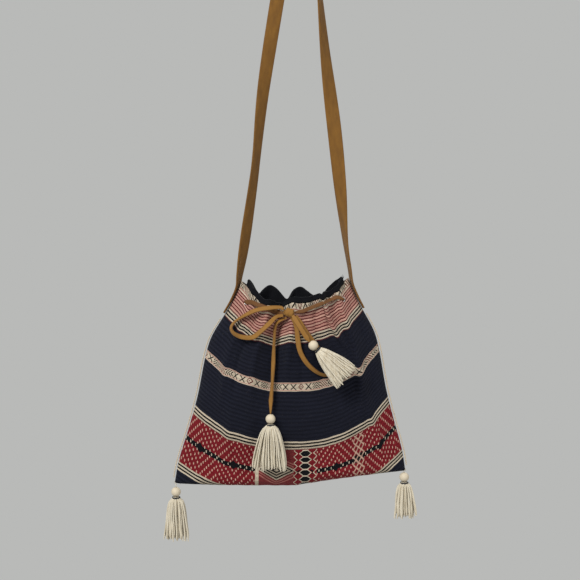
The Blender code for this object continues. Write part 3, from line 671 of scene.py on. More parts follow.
def sweptBand(path, sides, faces, half, deep):
    # the points of a band's section at each place of its path
    outline = bandOutline()
    points = path[:, None] + sides[:, None] * (half[:, None] * outline[:, 0])[..., None]
    return points + faces[:, None] * (deep[:, None] * outline[:, 1])[..., None]


def bandPiece(name, path, width, thickness, turns, ends=(1.0, 1.0), ripple=0.0, seed=1, thinnest=0.55):
    # a flat band swept along its path, turned by degrees along the way, and narrowed at its ends
    share = np.linspace(0, 1, len(path))
    tangent = unit(np.gradient(path, axis=0))
    side = unit(np.cross(tangent, (0.0, 1.0, 0.0)))
    turn = np.radians(np.interp(share, np.linspace(0, 1, len(turns)), turns))[:, None]
    side = side * np.cos(turn) + np.cross(tangent, side) * np.sin(turn)
    starting, ending = ends[0] + share * 8 * (1 - ends[0]), ends[1] + (1 - share) * 8 * (1 - ends[1])
    narrow = np.minimum(1.0, np.minimum(starting, ending))
    half = width / 2 * narrow
    if ripple:
        rng = np.random.default_rng(seed)
        waves = sum(np.sin(share * f + rng.uniform(0, 6.3)) for f in (17.0, 31.0, 55.0)) / 3
        half = half * (1 + ripple * waves)
    deep = thickness / 2 * np.maximum(narrow, thinnest)
    points = sweptBand(path, side, np.cross(tangent, side), half, deep)
    outline = bandOutline()
    around = outline[:, 0] * width / 2 + np.where(outline[:, 1] < 0, width * 1.2, 0.0)
    return closedGrid(name, points, smoothing["band"], gridUvs(around, distancesAlong(path)))


def tubePiece(name, path, radius, sides):
    # a round tube along a path
    tangent = unit(np.gradient(path, axis=0))
    normal = np.cross(tangent[0], (0.31, 0.95, 0.17))
    normals = []
    for t in tangent:
        normal = unit(normal - t * np.dot(normal, t))
        normals.append(normal)
    normals = np.array(normals)
    binormal = np.cross(tangent, normals)
    a = np.linspace(0, fullTurn, sides + 1)
    ring = normals[:, None] * np.cos(a)[None, :, None] + binormal[:, None] * np.sin(a)[None, :, None]
    points = path[:, None] + radius * ring
    points[:, -1] = points[:, 0]
    return closedGrid(name, points, smoothing["tube"], gridUvs(a * radius, distancesAlong(path)))


def strandBundle(name, strands, radius, sides, tip):
    # many short yarns as one mesh: each is a list of points above the base line
    bpy.ops.object.select_all(action="DESELECT")
    bpy.ops.curve.primitive_nurbs_path_add()
    obj = bpy.context.object
    obj.name = name
    curve = obj.data
    curve.splines.clear()
    curve.dimensions = "3D"
    curve.bevel_depth = radius
    curve.bevel_resolution = sides - 1
    curve.use_fill_caps = True
    for strand in strands:
        spline = curve.splines.new("POLY")
        spline.points.add(len(strand) - 1)
        for target, place in zip(spline.points, strand):
            target.co = (*(Vector(place) - hang), 1.0)
            target.radius = 1.0
        target.radius = tip
    bpy.ops.object.convert(target="MESH")
    obj = bpy.context.object
    obj.location = (0, 0, 0)
    obj.data.name = name
    return cleaned(obj, smoothing["tube"])


def joinedPieces(name, pieces):
    bpy.ops.object.select_all(action="DESELECT")
    for piece in pieces:
        piece.select_set(True)
    bpy.context.view_layer.objects.active = pieces[0]
    bpy.ops.object.join()
    obj = bpy.context.object
    obj.name = obj.data.name = name
    return obj


# the lace and its bow
lace = {
    "width": 0.0064,
    "thickness": 0.0015,
    "lift": 0.0034,
    "start": 0.0010,
    "turn": 0.0038,
    "insideTurn": 0.0052,
    "insideSag": 0.0035,
    "meet": 0.0004,
    "core": 0.00125,
    "squeeze": 0.36,
    "rightNarrow": 0.74,
    # the lace's own tones, and a darker copy of them that the front laces are given
    "smooth": {"colour": (0.270, 0.122, 0.018), "dark": (0.100, 0.040, 0.006), "pale": (0.420, 0.215, 0.045)},
    "rough": {"colour": (0.150, 0.060, 0.016), "dark": (0.060, 0.024, 0.007), "pale": (0.230, 0.100, 0.028)},
}
eyelet = {
    "side": 0.83,
    "belowMouth": 0.0170,
    "radius": 0.0034,
    "bore": 0.0021,
    "barrel": 0.0022,
    "lip": 0.0008,
    "washer": 0.0009,
    "hole": 0.0023,
}
lining = {
    "gap": 0.0009,
    "thickness": 0.0010,
    "rim": 0.0085,
    "floor": 0.010,
    "lowest": 0.0467,
    "reach": math.radians(math.degrees(math.asin(eyelet["side"])) + 9.0),
    "colour": (0.0034, 0.0036, 0.0048),
    "pale": (0.0120, 0.0130, 0.0165),
}


def suedeMaterial(name, tones):
    # suede: cloudy nap, a fine grain, and painted shade that darkens the band's edges so that the knot's
    # wraps stand apart
    made = newMaterial(name, 0.78, specular=0.30, sheen=0.06)
    uv = coordinates()
    cloudy = noise(uv, (260.0, 90.0, 1.0), 4.0, 0.6)
    fine = noise(uv, (2300.0, 1500.0, 1.0), 3.0, 0.65)
    base = mixed(0.60, tones["colour"], mixed(cloudy, tones["dark"], tones["pale"]))
    wide = lace["width"]
    fromMiddle = abs((apart(uv)[0] + 0.5 * wide) % (1.2 * wide) - 0.5 * wide)
    # painted shade: the colour darkens towards each edge of the band
    base = mixed((fromMiddle > 0.40 * wide) * 0.6, base, tones["dark"])
    lay("Base Color", mixed((fine > 0.60) * 0.22, base, tones["dark"]))
    lay("Roughness", cloudy * 0.28 + 0.62)
    wrinkles = noise(uv, (70.0, 620.0, 1.0))
    bumped(fine * 0.7 + wrinkles * 0.6, 0.00035, 0.7)
    return made


laceSuede = suedeMaterial("laceSuede", lace["smooth"])
# a darker copy of the lace suede, which the front laces are given
darkerLaceSuede = suedeMaterial("laceSuedeDarker", lace["rough"])


def lacePiece(name, node, route, count, turns, ends, seed, made=laceSuede, width=lace["width"]):
    path = smoothCurve(route, count)
    piece = bandPiece(name + "Lace", path, width, lace["thickness"], turns, ends, 0.05, seed)
    return finished(piece, made, "bag", "lace", node), path


def eyeletPlace(surface, side):
    # its middle on the smooth cloth, and the way out of the bag there
    angle, height = side * math.asin(eyelet["side"]), clothHeight - eyelet["belowMouth"]
    step, rise = normalStep["angle"], normalStep["height"]
    places = ((angle + step, height), (angle - step, height), (angle, height + rise), (angle, height - rise))
    ahead, behind, above, under = (Vector(surface(*place, False)) for place in places)
    normal = (ahead - behind).cross(above - under).normalized()
    return Vector(surface(angle, height, False)), normal if surface is frontSurface else -normal


def camel(name):
    first, *others = name.split("_")
    return first + "".join(word.title() for word in others)


# each lace's first place, and a loop's last, are steps from the knot's middle, and the others are inFront
knotMiddle = inFront(-0.0013, 0.0114, 0.0062)
freeEnds = {
    "bow_loop_left": {
        "places": (
            (-0.0074, -0.0018, 0.0036), (-0.012, 0.0050, 0.0092), (-0.026, 0.0055, 0.0090),
            (-0.043, 0.0085, 0.0086), (-0.060, 0.0165, 0.0086), (-0.071, 0.0240, 0.0090),
            (-0.0752, 0.0315, 0.0095), (-0.071, 0.0385, 0.0092), (-0.0600, 0.0425, 0.0086),
            (-0.0470, 0.0425, 0.0082), (-0.0370, 0.0350, 0.0082), (-0.0270, 0.0260, 0.0086),
            (-0.0175, 0.0170, 0.0086), (-0.0074, -0.0018, -0.0036),
        ),
        "turns": (20, 30, 30, 40, 70, 60, 20, -10, -20, -20, -10), "count": 170, "end": 0.55,
    },
    "bow_loop_right": {
        "places": (
            (0.0026, 0.0010, -0.0061), (0.0052, 0.0230, 0.0040), (0.0085, 0.0340, 0.0032),
            (0.0120, 0.0580, 0.0030), (0.0210, 0.0750, 0.0030), (0.0340, 0.0870, 0.0030),
            (0.0450, 0.0910, 0.0034), (0.0520, 0.0860, 0.0040), (0.0500, 0.0760, 0.0040),
            (0.0400, 0.0630, 0.0034), (0.0290, 0.0480, 0.0034), (0.0190, 0.0340, 0.0036),
            (0.0130, 0.0230, 0.0040), (0.0088, -0.0005, -0.0040),
        ),
        "turns": (0, 10, 10, 20, 50, 60, 20, 10, 0, 0), "count": 170, "end": 0.55,
    },
    "long_tail": {
        "places": (
            (-0.0030, 0.0014, -0.0061), (-0.0175, 0.0260, 0.0056), (-0.0200, 0.0450, 0.0056),
            (-0.0212, 0.0750, 0.0056), (-0.0228, 0.1050, 0.0066), (-0.0242, 0.1230, 0.0078),
            (-0.0247, 0.1395, 0.0092),
        ),
        "turns": (40, 60, 64, 40, 60, 50, 0), "count": 170, "end": 0.24,
    },
    "short_tail": {
        "places": (
            (0.0046, -0.0036, -0.0034), (0.0110, 0.0270, 0.0120), (0.0190, 0.0395, 0.0140),
            (0.0245, 0.0478, 0.0150),
        ),
        "turns": (0, 0, 10, 0), "count": 70, "end": 0.24,
    },
}
freeLaces, laceEnds = {}, {}
for name, free in freeEnds.items():
    route = [knotMiddle + Vector(free["places"][0])] + [inFront(*place) for place in free["places"][1:]]
    node = name + "_lace"
    if name.startswith("bow"):
        route[-1] = knotMiddle + Vector(free["places"][-1])
        node = name
    ends = (0.55, free["end"])
    freeLaces[name] = lacePiece(camel(name), node, route, free["count"], free["turns"], ends, len(name))
    laceEnds[name] = route[-1]  # where a tail leaves off, and its bead begins
print("Bow and tails made")

# beads, bindings and yarn tassels
bead = {
    "radius": 0.0062,
    "halfLength": 0.0058,
    "bore": 0.0019,
    "rim": 0.0004,
    "colour": (0.640, 0.550, 0.400),
    "pale": (0.760, 0.690, 0.550),
    "dark": (0.400, 0.300, 0.175),
}
tassel = {
    "hangGap": 0.0008,
    "neck": 0.0040,
    "bindingRadius": 0.0012,
    "bindingTurns": 4,
    "sewnGap": 0.0003,
    "strands": 104,
    "yarnRadius": 0.00098,
    "points": 11,
    "uneven": 0.0065,
    "innerShorter": 0.0035,
    "strandTurn": 2.399963,  # each strand's turn from the one before, and how far that strays
    "strandStray": 0.12,
    "curl": 0.0022,
    "droop": 0.004,
    "tip": 0.55,
    "bareNeck": 0.0010,
    "boundLength": 0.0022,
    "colour": (0.700, 0.625, 0.475),
    "pale": (0.840, 0.790, 0.660),
    "dark": (0.440, 0.365, 0.240),
}
tassels = {  # the way each hangs, its length, its spread, its depth as a share of that, and how it widens
    "long_tail": ((0, 0, -1), 0.0725, 0.0500, 0.42, 0.40),
    "short_tail": ((0.72, 0, -0.69), 0.0660, 0.0400, 0.44, 0.55),
    "left_corner": ((0.02, 0, -1), 0.0700, 0.0330, 0.62, 0.26),
    "right_corner": ((0.03, 0, -1), 0.0600, 0.0300, 0.62, 0.26),
}


def woodMaterial():
    made = newMaterial("bareWood", 0.55, specular=0.35)
    place = coordinates("Object")
    grain = noise(place, (900.0, 900.0, 130.0), 4.0, 0.6)
    broad = noise(place, (210.0, 210.0, 60.0))
    colour = mixed(0.38, bead["colour"], mixed(grain, bead["dark"], bead["pale"]))
    lay("Base Color", mixed(broad * 0.25, colour, bead["pale"]))
    bumped(grain + broad, 0.00020, 0.5)
    return made


def yarnMaterial():
    # twisted cotton: slanting plies along each strand, paler and darker yarns
    made = newMaterial("cottonYarn", 0.93, specular=0.15, sheen=0.25)
    place = coordinates("Object")
    patchy = noise(place, (420.0, 420.0, 60.0), 3.0, 0.6)
    hair = noise(place, (3000.0, 3000.0, 1500.0), 2.0, 0.7)
    tone = mixed(patchy * 2.0 - 0.5, tassel["dark"], tassel["pale"])
    colour = mixed(0.62, tassel["colour"], tone)
    lay("Base Color", mixed(hair * 0.16, colour, tassel["dark"]))
    x, y, z = apart(place)
    bumped(sine(z + (x + y) * 0.9, finePitch) * 0.35 + hair * 0.5, 0.00022, 0.7)
    return made


def threadMaterial(name, colour):
    made = newMaterial(name, 0.7, colour)
    fibre = noise(coordinates("Object"), (2600.0, 2600.0, 2600.0))
    lay("Base Color", mixed(fibre * 0.6, colour, tuple(c * 2.4 for c in colour)))
    bumped(fibre, 0.00015, 0.6)
    return made


finePitch = fullTurn / 5200.0  # of the yarn's plies and the lining's threads
bareWood = woodMaterial()
cottonYarn = yarnMaterial()
blackThread = threadMaterial("blackThread", (0.0085, 0.0085, 0.0100))


def hangingAxes(direction):
    down, depth = Vector(direction).normalized(), Vector((0, 1, 0))
    return depth.cross(down).normalized(), depth, down


def turnedPiece(name, origin, axes, profile, sides, flat=1.0, smooth=smoothing["turned"]):
    # a closed profile of (radius, distance along) turned about the last of its axes
    across, depth, down = (np.array(axis) for axis in axes)
    rings = np.array(profile + profile[:1])
    a = np.linspace(0, fullTurn, sides + 1)
    points = np.outer(rings[:, 0], np.cos(a))[..., None] * across
    points = points + (np.outer(rings[:, 0], np.sin(a)) * flat)[..., None] * depth
    points = np.array(origin) + points + rings[:, 1][:, None, None] * down
    return closedGrid(name, points, smooth, capped=False)


def beadPiece(name, top, axes):
    radius, half, bore, rim = (bead[key] for key in ("radius", "halfLength", "bore", "rim"))
    first = math.acos(half / radius)
    angles = np.linspace(first, math.pi - first, 22)
    outer = [(radius * math.sin(a), half - radius * math.cos(a)) for a in angles]
    upper = [(bore, rim), (bore + rim * 0.6, rim * 0.15)]
    lower = [(r, 2 * half - along) for r, along in upper[::-1]]
    return turnedPiece(name, top, axes, upper + outer + lower, 44)


def bindingPiece(name, top, axes):
    # black thread wound round the neck
    across, depth, down = axes
    a = np.linspace(0, fullTurn * tassel["bindingTurns"], 34 * tassel["bindingTurns"])
    share = a / a[-1]
    radius = tassel["neck"] + tassel["sewnGap"] + 0.0006 + 0.00015 * np.sin(share * 21)
    middle = bead["halfLength"] + bead["radius"] + tassel["sewnGap"] + tassel["bindingRadius"]
    along = middle + tassel["bindingRadius"] * (share * 2 - 1) * 0.92
    path = np.array(top) + np.outer(radius * np.cos(a), across) + np.outer(radius * np.sin(a), depth)
    return tubePiece(name, path + np.outer(along, down), 0.00042, 7)


def skirtPiece(name, top, axes, length, spread, flat, bell, seed):
    # strands of yarn that leave the neck and fall apart towards their uneven ends
    rng = random.Random(seed)
    across, depth, down = axes
    gravity = Vector((0, 0, -1))
    droop = gravity * tassel["droop"] * (1 - down.dot(gravity))
    inner = tassel["neck"] * 0.82
    neckTop = 2 * bead["halfLength"] + tassel["sewnGap"] + tassel["bareNeck"]
    bound = neckTop + tassel["boundLength"]
    strands = []
    for k in range(tassel["strands"]):
        ring = math.sqrt((k + 0.5) / tassel["strands"])
        angle = k * tassel["strandTurn"] + rng.uniform(-tassel["strandStray"], tassel["strandStray"])
        reach = length - rng.uniform(0.0, tassel["uneven"]) - tassel["innerShorter"] * (1 - ring)
        wave, phase, pitch = rng.uniform(0.0003, 0.0010), rng.uniform(0, 6.28), rng.uniform(5.0, 9.0)
        curl = rng.uniform(-tassel["curl"], tassel["curl"])
        loose = rng.uniform(0.90, 1.04)
        points = []
        for t in np.linspace(0, 1, tassel["points"]).tolist():
            along = neckTop + (reach - neckTop) * t
            out = min(max((along - bound) / (length - bound), 0.0), 1.0)
            wide = out**bell
            radius = (inner + (spread / 2 - inner) * wide * loose) * ring
            x = radius * math.cos(angle) + wave * math.sin(phase + pitch * t) * out + curl * out**2
            y = radius * math.sin(angle) * (1.0 - (1.0 - flat) * wide)
            y += wave * math.cos(phase * 1.7 + pitch * t) * out
            points.append(top + across * x + depth * y + down * along + droop * out**2)
        strands.append(points)
    bundle = strandBundle(name, strands, tassel["yarnRadius"], 2, tassel["tip"])
    neck = tassel["neck"]
    core = [(0.0004, neckTop + 0.0004), (neck * 0.80, neckTop + 0.0006), (neck * 0.84, bound)]
    deep = length * 0.80 - bound
    for out in (i / 7 for i in range(1, 7)):
        core.append((neck * 0.8 + (spread / 2 - neck) * 0.42 * out**0.7, bound + deep * out))
    core.append((0.0004, bound + deep))
    return joinedPieces(name, [bundle, turnedPiece(name + "Heart", top, axes, core, 16, 0.6)])


def wholeTassel(prefix, top, seed):
    word = camel(prefix)
    direction, *sizes = tassels[prefix]
    axes = hangingAxes(direction)
    ball = beadPiece(word + "Bead", top, axes)
    finished(ball, bareWood, prefix + "_bead", "bead_wood", prefix + "_bead")
    binding = bindingPiece(word + "Binding", top, axes)
    finished(binding, blackThread, prefix + "_tassel", "binding_thread", prefix + "_binding")
    skirt = skirtPiece(word + "Skirt", top, axes, *sizes, seed)
    finished(skirt, cottonYarn, prefix + "_tassel", "tassel_yarn", prefix + "_skirt")
    return [ball, binding, skirt]


for seed, prefix in ((3, "long_tail"), (4, "short_tail")):
    down = hangingAxes(tassels[prefix][0])[-1]
    wholeTassel(prefix, laceEnds[prefix] + down * tassel["hangGap"], seed)
threads = {"radius": 0.00034, "apart": 0.00028, "twist": 9.0, "covered": 0.0008, "sewnIn": 0.0016}
for seed, prefix, side, length in ((11, "left_corner", -1, 0.0050), (12, "right_corner", 1, 0.0022)):
    seam = frontSurface(side * halfTurn, 0.0)
    start = Vector((seam[0], 0.0, seam[2] - threads["covered"] - tassel["sewnGap"]))
    steps = np.linspace(0, 1, 24)
    twist = []
    for phase in (0.0, math.pi):  # two plies twisted round each other, up into the corner
        a = steps * threads["twist"] + phase
        z = start.z + threads["covered"] - (length + threads["sewnIn"]) * steps
        path = np.stack([start.x + threads["apart"] * np.cos(a), threads["apart"] * np.sin(a), z], axis=1)
        twist.append(tubePiece("ply", path, threads["radius"], 6))
    thread = joinedPieces(camel(prefix) + "Thread", twist)
    finished(thread, cottonYarn, "bag", "tassel_yarn", prefix + "_thread")
    wholeTassel(prefix, start - Vector((0, 0, length + tassel["hangGap"])), seed)
print("Beads and tassels made")

for name, (piece, path) in freeLaces.items():
    world = path - np.array(hang)

# the woven cloth
cloth = {"slub": 0.00022, "lift": 0.00008, "gatheredShare": 0.45, "front": (211, 190), "back": (181, 150)}


def clothPiece(name, surface, columns, rows):
    a, h = np.meshgrid(np.linspace(-halfTurn, halfTurn, columns), np.linspace(0.0, clothHeight, rows))
    inner = surface(a, h)
    across = np.sin(a)
    slub = cloth["slub"] * np.sin(h * 410 + 3 * np.sin(across * 9)) * np.cos(across * 37 + 2 * np.sin(h * 60))
    points = inner + clothNormal(surface, a, h) * (cloth["lift"] + slub * np.cos(a))[..., None]
    stepsRound = np.linalg.norm(np.diff(inner, axis=1), axis=2)
    around = np.concatenate([np.zeros((rows, 1)), np.cumsum(stepsRound, axis=1)], axis=1)
    around = around - around[:, columns // 2 : columns // 2 + 1]
    pulled = cloth["gatheredShare"] * smoothStep(h / clothHeight)  # gathered cloth shows its figures narrower
    u = around * (1 - pulled) + across * halfWidth(0.0) * pulled
    back = surface is backSurface
    obj = openGrid(name, points, np.stack([-u if back else u, h], axis=-1))
    bpy.ops.object.shade_smooth_by_angle(angle=math.radians(smoothing["band"]))
    bpy.ops.object.mode_set(mode="EDIT")
    bpy.ops.mesh.select_all(action="DESELECT")
    bpy.ops.object.mode_set(mode="OBJECT")
    for side in (-1, 1):  # the holes under the eyelets
        middle = eyeletPlace(surface, side)[0] - hang
        for face in obj.data.polygons:
            if (face.center - middle).length < eyelet["hole"]:
                face.select = True
    bpy.ops.object.mode_set(mode="EDIT")
    bpy.ops.mesh.select_mode(type="FACE")
    bpy.ops.mesh.delete(type="FACE")
    bpy.ops.mesh.select_mode(type="VERT")
    bpy.ops.mesh.select_all(action="SELECT")
    if back:
        bpy.ops.mesh.flip_normals()
    bpy.ops.object.mode_set(mode="OBJECT")
    wall = obj.modifiers.new("clothThickness", "SOLIDIFY")
    wall.thickness = bag["visibleThickness"]
    wall.offset = 1.0
    wall.use_even_offset = False
    bpy.ops.object.modifier_apply(modifier=wall.name)
    return obj


wovenCloth = bandedWeave()
for word, surface in (("front", frontSurface), ("back", backSurface)):
    piece = clothPiece(word + "Cloth", surface, *cloth[word])
    finished(piece, wovenCloth, "bag", "woven_cloth", word + "_panel")
print("Cloth woven")


# the black lining and its hem
def liningMaterial():
    made = newMaterial("liningCotton", 0.88, specular=0.08, sheen=0.03)
    place = coordinates("Object")
    x, _, z = apart(place)
    lint = noise(place, (900.0, 900.0, 900.0), 3.0, 0.7)
    cloudy = noise(place, (45.0, 45.0, 45.0))
    lay("Base Color", mixed((lint > 0.62) * 0.35 + cloudy * 0.35, lining["colour"], lining["pale"]))
    bumped(sine(x, finePitch) * sine(z, finePitch) * 0.3 + lint, 0.00045, 0.8)
    return made


def liningSection():
    # heights and offsets from the cloth: up inside it, out over its edge, round the hem's fold and down again
    top, fold, under = clothHeight + lining["rim"], 0.0014, clothHeight - 0.004
    inside, farInside = -lining["gap"], -lining["gap"] - lining["thickness"]
    proud = bag["thickness"] + bag["sewnGap"]
    hem = clothHeight + 2 * bag["sewnGap"]
    levels = list(np.linspace(lining["lowest"], under, 42))
    chain = [(h, inside) for h in levels]
    chain += [(hem - 0.0006, inside), (hem, (inside + proud) / 2), (hem, proud - 0.0003)]
    outer = np.linspace(hem + 0.0006, top - fold, 6)
    chain += [(h, proud + 0.0003 * math.sin((h - hem) * 900)) for h in outer]
    middle = (proud + farInside) / 2
    for a in np.linspace(0.25, math.pi - 0.25, 7):
        chain.append((top - fold + fold * math.sin(a), middle + (proud - middle) * math.cos(a)))
    inner = list(np.linspace(top - 0.0016, under, 5))
    return chain, [(h, farInside) for h in inner + levels[::-1]]


def liningPiece():
    angles = np.linspace(-lining["reach"], lining["reach"], 74)
    lowest = lining["lowest"]
    outward, inward = liningSection()
    loops = []
    for i, (height, offset) in enumerate(outward + inward):
        floor = lining["thickness"] if i == len(outward + inward) - 1 else 0.0
        halves = []
        for surface, order, shift in ((frontSurface, angles, 0.0), (backSurface, angles[::-1], 2.0)):
            level = np.full(len(order), height)
            if surface is frontSurface:
                start = rollTop(np.sin(order))[0] + lining["floor"]
                level = start + (height - lowest) * (clothHeight - start) / (clothHeight - lowest)
            place = np.sin(order) * 9 + shift
            pucker = 0.0003 * np.sin(place * 1.7) + 0.0002 * np.sin(place * 4.3)
            pucker = pucker * float(smoothStep((height - clothHeight) / 0.006))
            halves.append(onCloth(surface, order, level + floor + pucker, offset + pucker))
        loop = np.vstack(halves)
        loops.append(np.vstack([loop, loop[:1]]))
    return closedGrid("blackLining", np.array(loops), smoothing["band"])


finished(liningPiece(), liningMaterial(), "bag", "lining_cloth", "lining")
print("Lining sewn in")


# eyelets, held lace and knot
def metalMaterial():
    made = newMaterial("brightSteel", 0.26, (0.66, 0.65, 0.62))
    lay("Metallic", 1.0)
    scratch = noise(coordinates("Object"), (900.0, 900.0, 2600.0), 3.0, 0.6)
    lay("Roughness", scratch * 0.30 + 0.16)
    lay("Base Color", mixed(scratch * 0.5, (0.70, 0.69, 0.66), (0.46, 0.44, 0.40)))
    bumped(scratch, 0.00006, 0.4)
    return made


def eyeletPiece(name, surface, side):
    # the washer inside, a barrel, and a rolled flange outside
    middle, normal = eyeletPlace(surface, side)
    bore, radius, lip, barrel = (eyelet[key] for key in ("bore", "radius", "lip", "barrel"))
    inner = -lining["gap"] - lining["thickness"] - eyelet["washer"]
    outer = bag["thickness"] + bag["sewnGap"]
    profile = [(bore, inner - lip * 0.7), (radius * 0.97, inner - lip * 0.7), (radius, inner - lip * 0.3)]
    profile += [(radius, inner), (barrel, inner), (barrel, outer)]
    ring, mid = (radius - bore) / 2, (radius + bore) / 2
    for a in np.linspace(-0.1, math.pi + 0.1, 12):
        profile.append((mid + ring * math.cos(a), outer + lip * max(math.sin(a), 0.0)))
    profile.append((bore, outer - 0.0004))
    across = normal.cross(Vector((0, 0, 1))).normalized()
    return turnedPiece(name, middle, (across, across.cross(normal), normal), profile, 40, smooth=40.0)


brightSteel = metalMaterial()
held = {}
for where, surface in (("front", frontSurface), ("back", backSurface)):
    for hand, side in (("left", -1), ("right", 1)):
        ring = eyeletPiece(where + hand.title() + "Eyelet", surface, side)
        finished(ring, brightSteel, "bag", "eyelet_metal", f"eyelet_{where}_{hand}")
        held[where, hand] = eyeletPlace(surface, side)


def outOf(eye):
    # the first places of a lace that comes out of an eyelet
    place, out = held[eye]
    start = place + out * lace["start"]
    return [start, start + out * lace["turn"]]


# from the first to the last place across and down the front, and where the lace enters the knot
frontLaces = {
    "left": ((-0.0490, -0.0015), (-0.0180, 0.0105), 7, (-0.0067, 0.0032, -0.0008), 1.0, 5),
    "right": ((0.0600, -0.0080), (0.0160, 0.0095), 9, (0.0070, 0.0032, 0.0), lace["rightNarrow"], 6),
}
for hand, (first, last, count, intoKnot, narrow, seed) in frontLaces.items():
    between = np.linspace(first, last, count)
    route = outOf(("front", hand)) + [inFront(x, below, lace["lift"]) for x, below in between]
    route.append(knotMiddle + Vector(intoKnot))
    ends, width = (lace["squeeze"], 0.5), narrow * lace["width"]
    name, node, turns = "front" + hand.title(), "lace_front_" + hand, (0, 20, 0, 0, 0)
    lacePiece(name, node, route, 90, turns, ends, seed, darkerLaceSuede, width)
for hand in ("left", "right"):
    (front, frontOut), (back, backOut) = held["front", hand], held["back", hand]
    a, b = front - frontOut * lace["insideTurn"], back - backOut * lace["insideTurn"]
    middle = (a + b) / 2 - (frontOut + backOut) * lace["insideSag"]
    route = [front + frontOut * lace["meet"], a, middle, b, back + backOut * lace["meet"]]
    piece = bandPiece(hand + "InsideLace", smoothCurve(route, 48), 2 * lace["core"], 2 * lace["core"], (0, 0))
    finished(piece, laceSuede, "bag", "lace", "lace_inside_" + hand)
route = outOf(("back", "left"))
for side in np.linspace(-0.66, 0.66, 14):
    place = (math.asin(side), clothHeight - eyelet["belowMouth"])
    normal = clothNormal(backSurface, *(np.float64(p) for p in place))
    route.append(Vector(backSurface(*place, False) + normal * (bag["thickness"] + lace["lift"])))
place, out = held["back", "right"]
route += [place + out * lace["turn"], place + out * lace["start"]]
lacePiece("back", "lace_back", route, 170, (0, 0), (lace["squeeze"], lace["squeeze"]), 8)

knot = {
    "half": (0.0071, 0.0043, 0.0047),
    "lap": 0.075,
    "wraps": ((-0.0022, 24, 0.98), (0.0024, 14, 1.0)),  # shift across, lean in degrees, and size of each turn
    "wrapHalf": (0.0027, 0.0006),
}


def knotPiece():
    # the lace drawn round itself: a plump core with lapped turns across it
    wide, deep, tall = knot["half"]
    centre = np.array(knotMiddle)
    a, b = np.linspace(0.06, math.pi - 0.06, 30), np.linspace(0, fullTurn, 57)
    radius = (np.sin(a) ** 0.62)[:, None]
    lap = 0.95 + knot["lap"] * np.abs(np.sin(b + a[:, None] * 3.4)) ** 0.5
    lap[:, -1] = lap[:, 0]
    x, y = wide * radius * np.cos(b) * lap, deep * radius * np.sin(b) * lap
    points = np.stack([x, y, np.broadcast_to((tall * np.cos(a))[:, None], x.shape)], axis=-1) + centre
    points[:, -1] = points[:, 0]
    pieces = [closedGrid("knotCore", points, smoothing["band"], gridUvs(b * wide, a * tall))]
    half, thick = knot["wrapHalf"]
    around = bandOutline()[:, 0] * half
    for shift, lean, grow in knot["wraps"]:
        loop = []
        for t in np.linspace(0, fullTurn, 49):
            place = Vector((shift, deep * 1.02 * grow * math.sin(t), tall * 1.03 * grow * math.cos(t)))
            loop.append(tuple(Matrix.Rotation(math.radians(lean), 3, "Y") @ place + knotMiddle))
        loop = np.array(loop)
        tangent = np.roll(loop[:-1], -1, axis=0) - np.roll(loop[:-1], 1, axis=0)
        tangent = unit(np.vstack([tangent, tangent[:1]]))
        outward = unit(loop - centre - np.array([math.cos(math.radians(lean)) * shift, 0, 0]))
        side = unit(np.cross(tangent, outward))
        count = np.ones(len(loop))
        points = sweptBand(loop, side, np.cross(side, tangent), half * count, thick * count)
        points[-1] = points[0]
        uvs = gridUvs(around, np.linspace(0, 0.03, len(loop)))
        pieces.append(closedGrid("knotWrap", points, smoothing["band"], uvs, capped=False))
    return joinedPieces("bowKnot", pieces)


finished(knotPiece(), laceSuede, "bag", "lace", "bow_knot")
print("Eyelets and lace threaded")

# the strap: each place has its height above the seam, and the band's turn there in degrees
strap = {
    "width": 0.0185,
    "thickness": 0.0020,
    "rise": 0.5285,
    "peg": 0.0100,
    "x": 0.0157,
    "seamClear": 0.0010,
    "count": 900,
    "softened": 41,
    "sewn": ((0.83, 90), (0.90, 88), (0.97, 80)),
    "left": (
        (-0.0655, 0.0175, 66), (-0.0585, 0.0625, 46), (-0.0480, 0.1345, 57), (-0.0437, 0.1705, 62),
        (-0.0345, 0.2590, 34), (-0.0166, 0.3745, 6), (-0.0020, 0.4605, -50),
    ),
    "right": (
        (0.0775, 0.0255, 84), (0.0719, 0.0625, 76), (0.0650, 0.1345, 32), (0.0576, 0.2070, 0),
        (0.0468, 0.2965, -42), (0.0394, 0.3745, -68), (0.0330, 0.4455, -84),
    ),
    "ribPitch": 0.00105,
    "pickPitch": 0.00125,
    "colour": (0.185, 0.083, 0.012),
    "pale": (0.290, 0.140, 0.024),
    "dark": (0.080, 0.031, 0.004),
}
seamSide = bag["thickness"] + bag["sewnGap"] + strap["seamClear"]  # from the seam to what is sewn beside it


def strapMaterial():
    # suede webbing: close ribs along it, finer picks across, and a cloudy nap
    made = newMaterial("strapWebbing", 0.8, specular=0.25, sheen=0.05)
    uv = coordinates()
    u, v, _ = apart(uv)
    ribs, picks = sine(u, strap["ribPitch"]), sine(v, strap["pickPitch"])
    cloudy = noise(uv, (150.0, 42.0, 1.0), 4.0, 0.6)
    fine = noise(uv, (1900.0, 1300.0, 1.0), 3.0, 0.7)
    colour = mixed(0.50, strap["colour"], mixed(cloudy * 1.8 - 0.4, strap["dark"], strap["pale"]))
    colour = mixed((ribs < -0.55) * 0.30, colour, strap["dark"])
    lay("Base Color", mixed((fine > 0.62) * 0.22, colour, strap["pale"]))
    lay("Roughness", cloudy * 0.25 + 0.66)
    bumped(ribs * 0.28 + (picks * 0.14 + fine * 0.6), 0.00040, 0.8)
    return made


def strapSide(side, places):
    route = []
    for share, turn in strap["sewn"]:
        seam = frontSurface(side * halfTurn, clothHeight * share)
        route.append(((seam[0] + side * (seamSide + strap["thickness"] / 2), 0.0, seam[2]), turn))
    return route + [((x, 0.0, bag["seamHeight"] + above), turn) for x, above, turn in places]


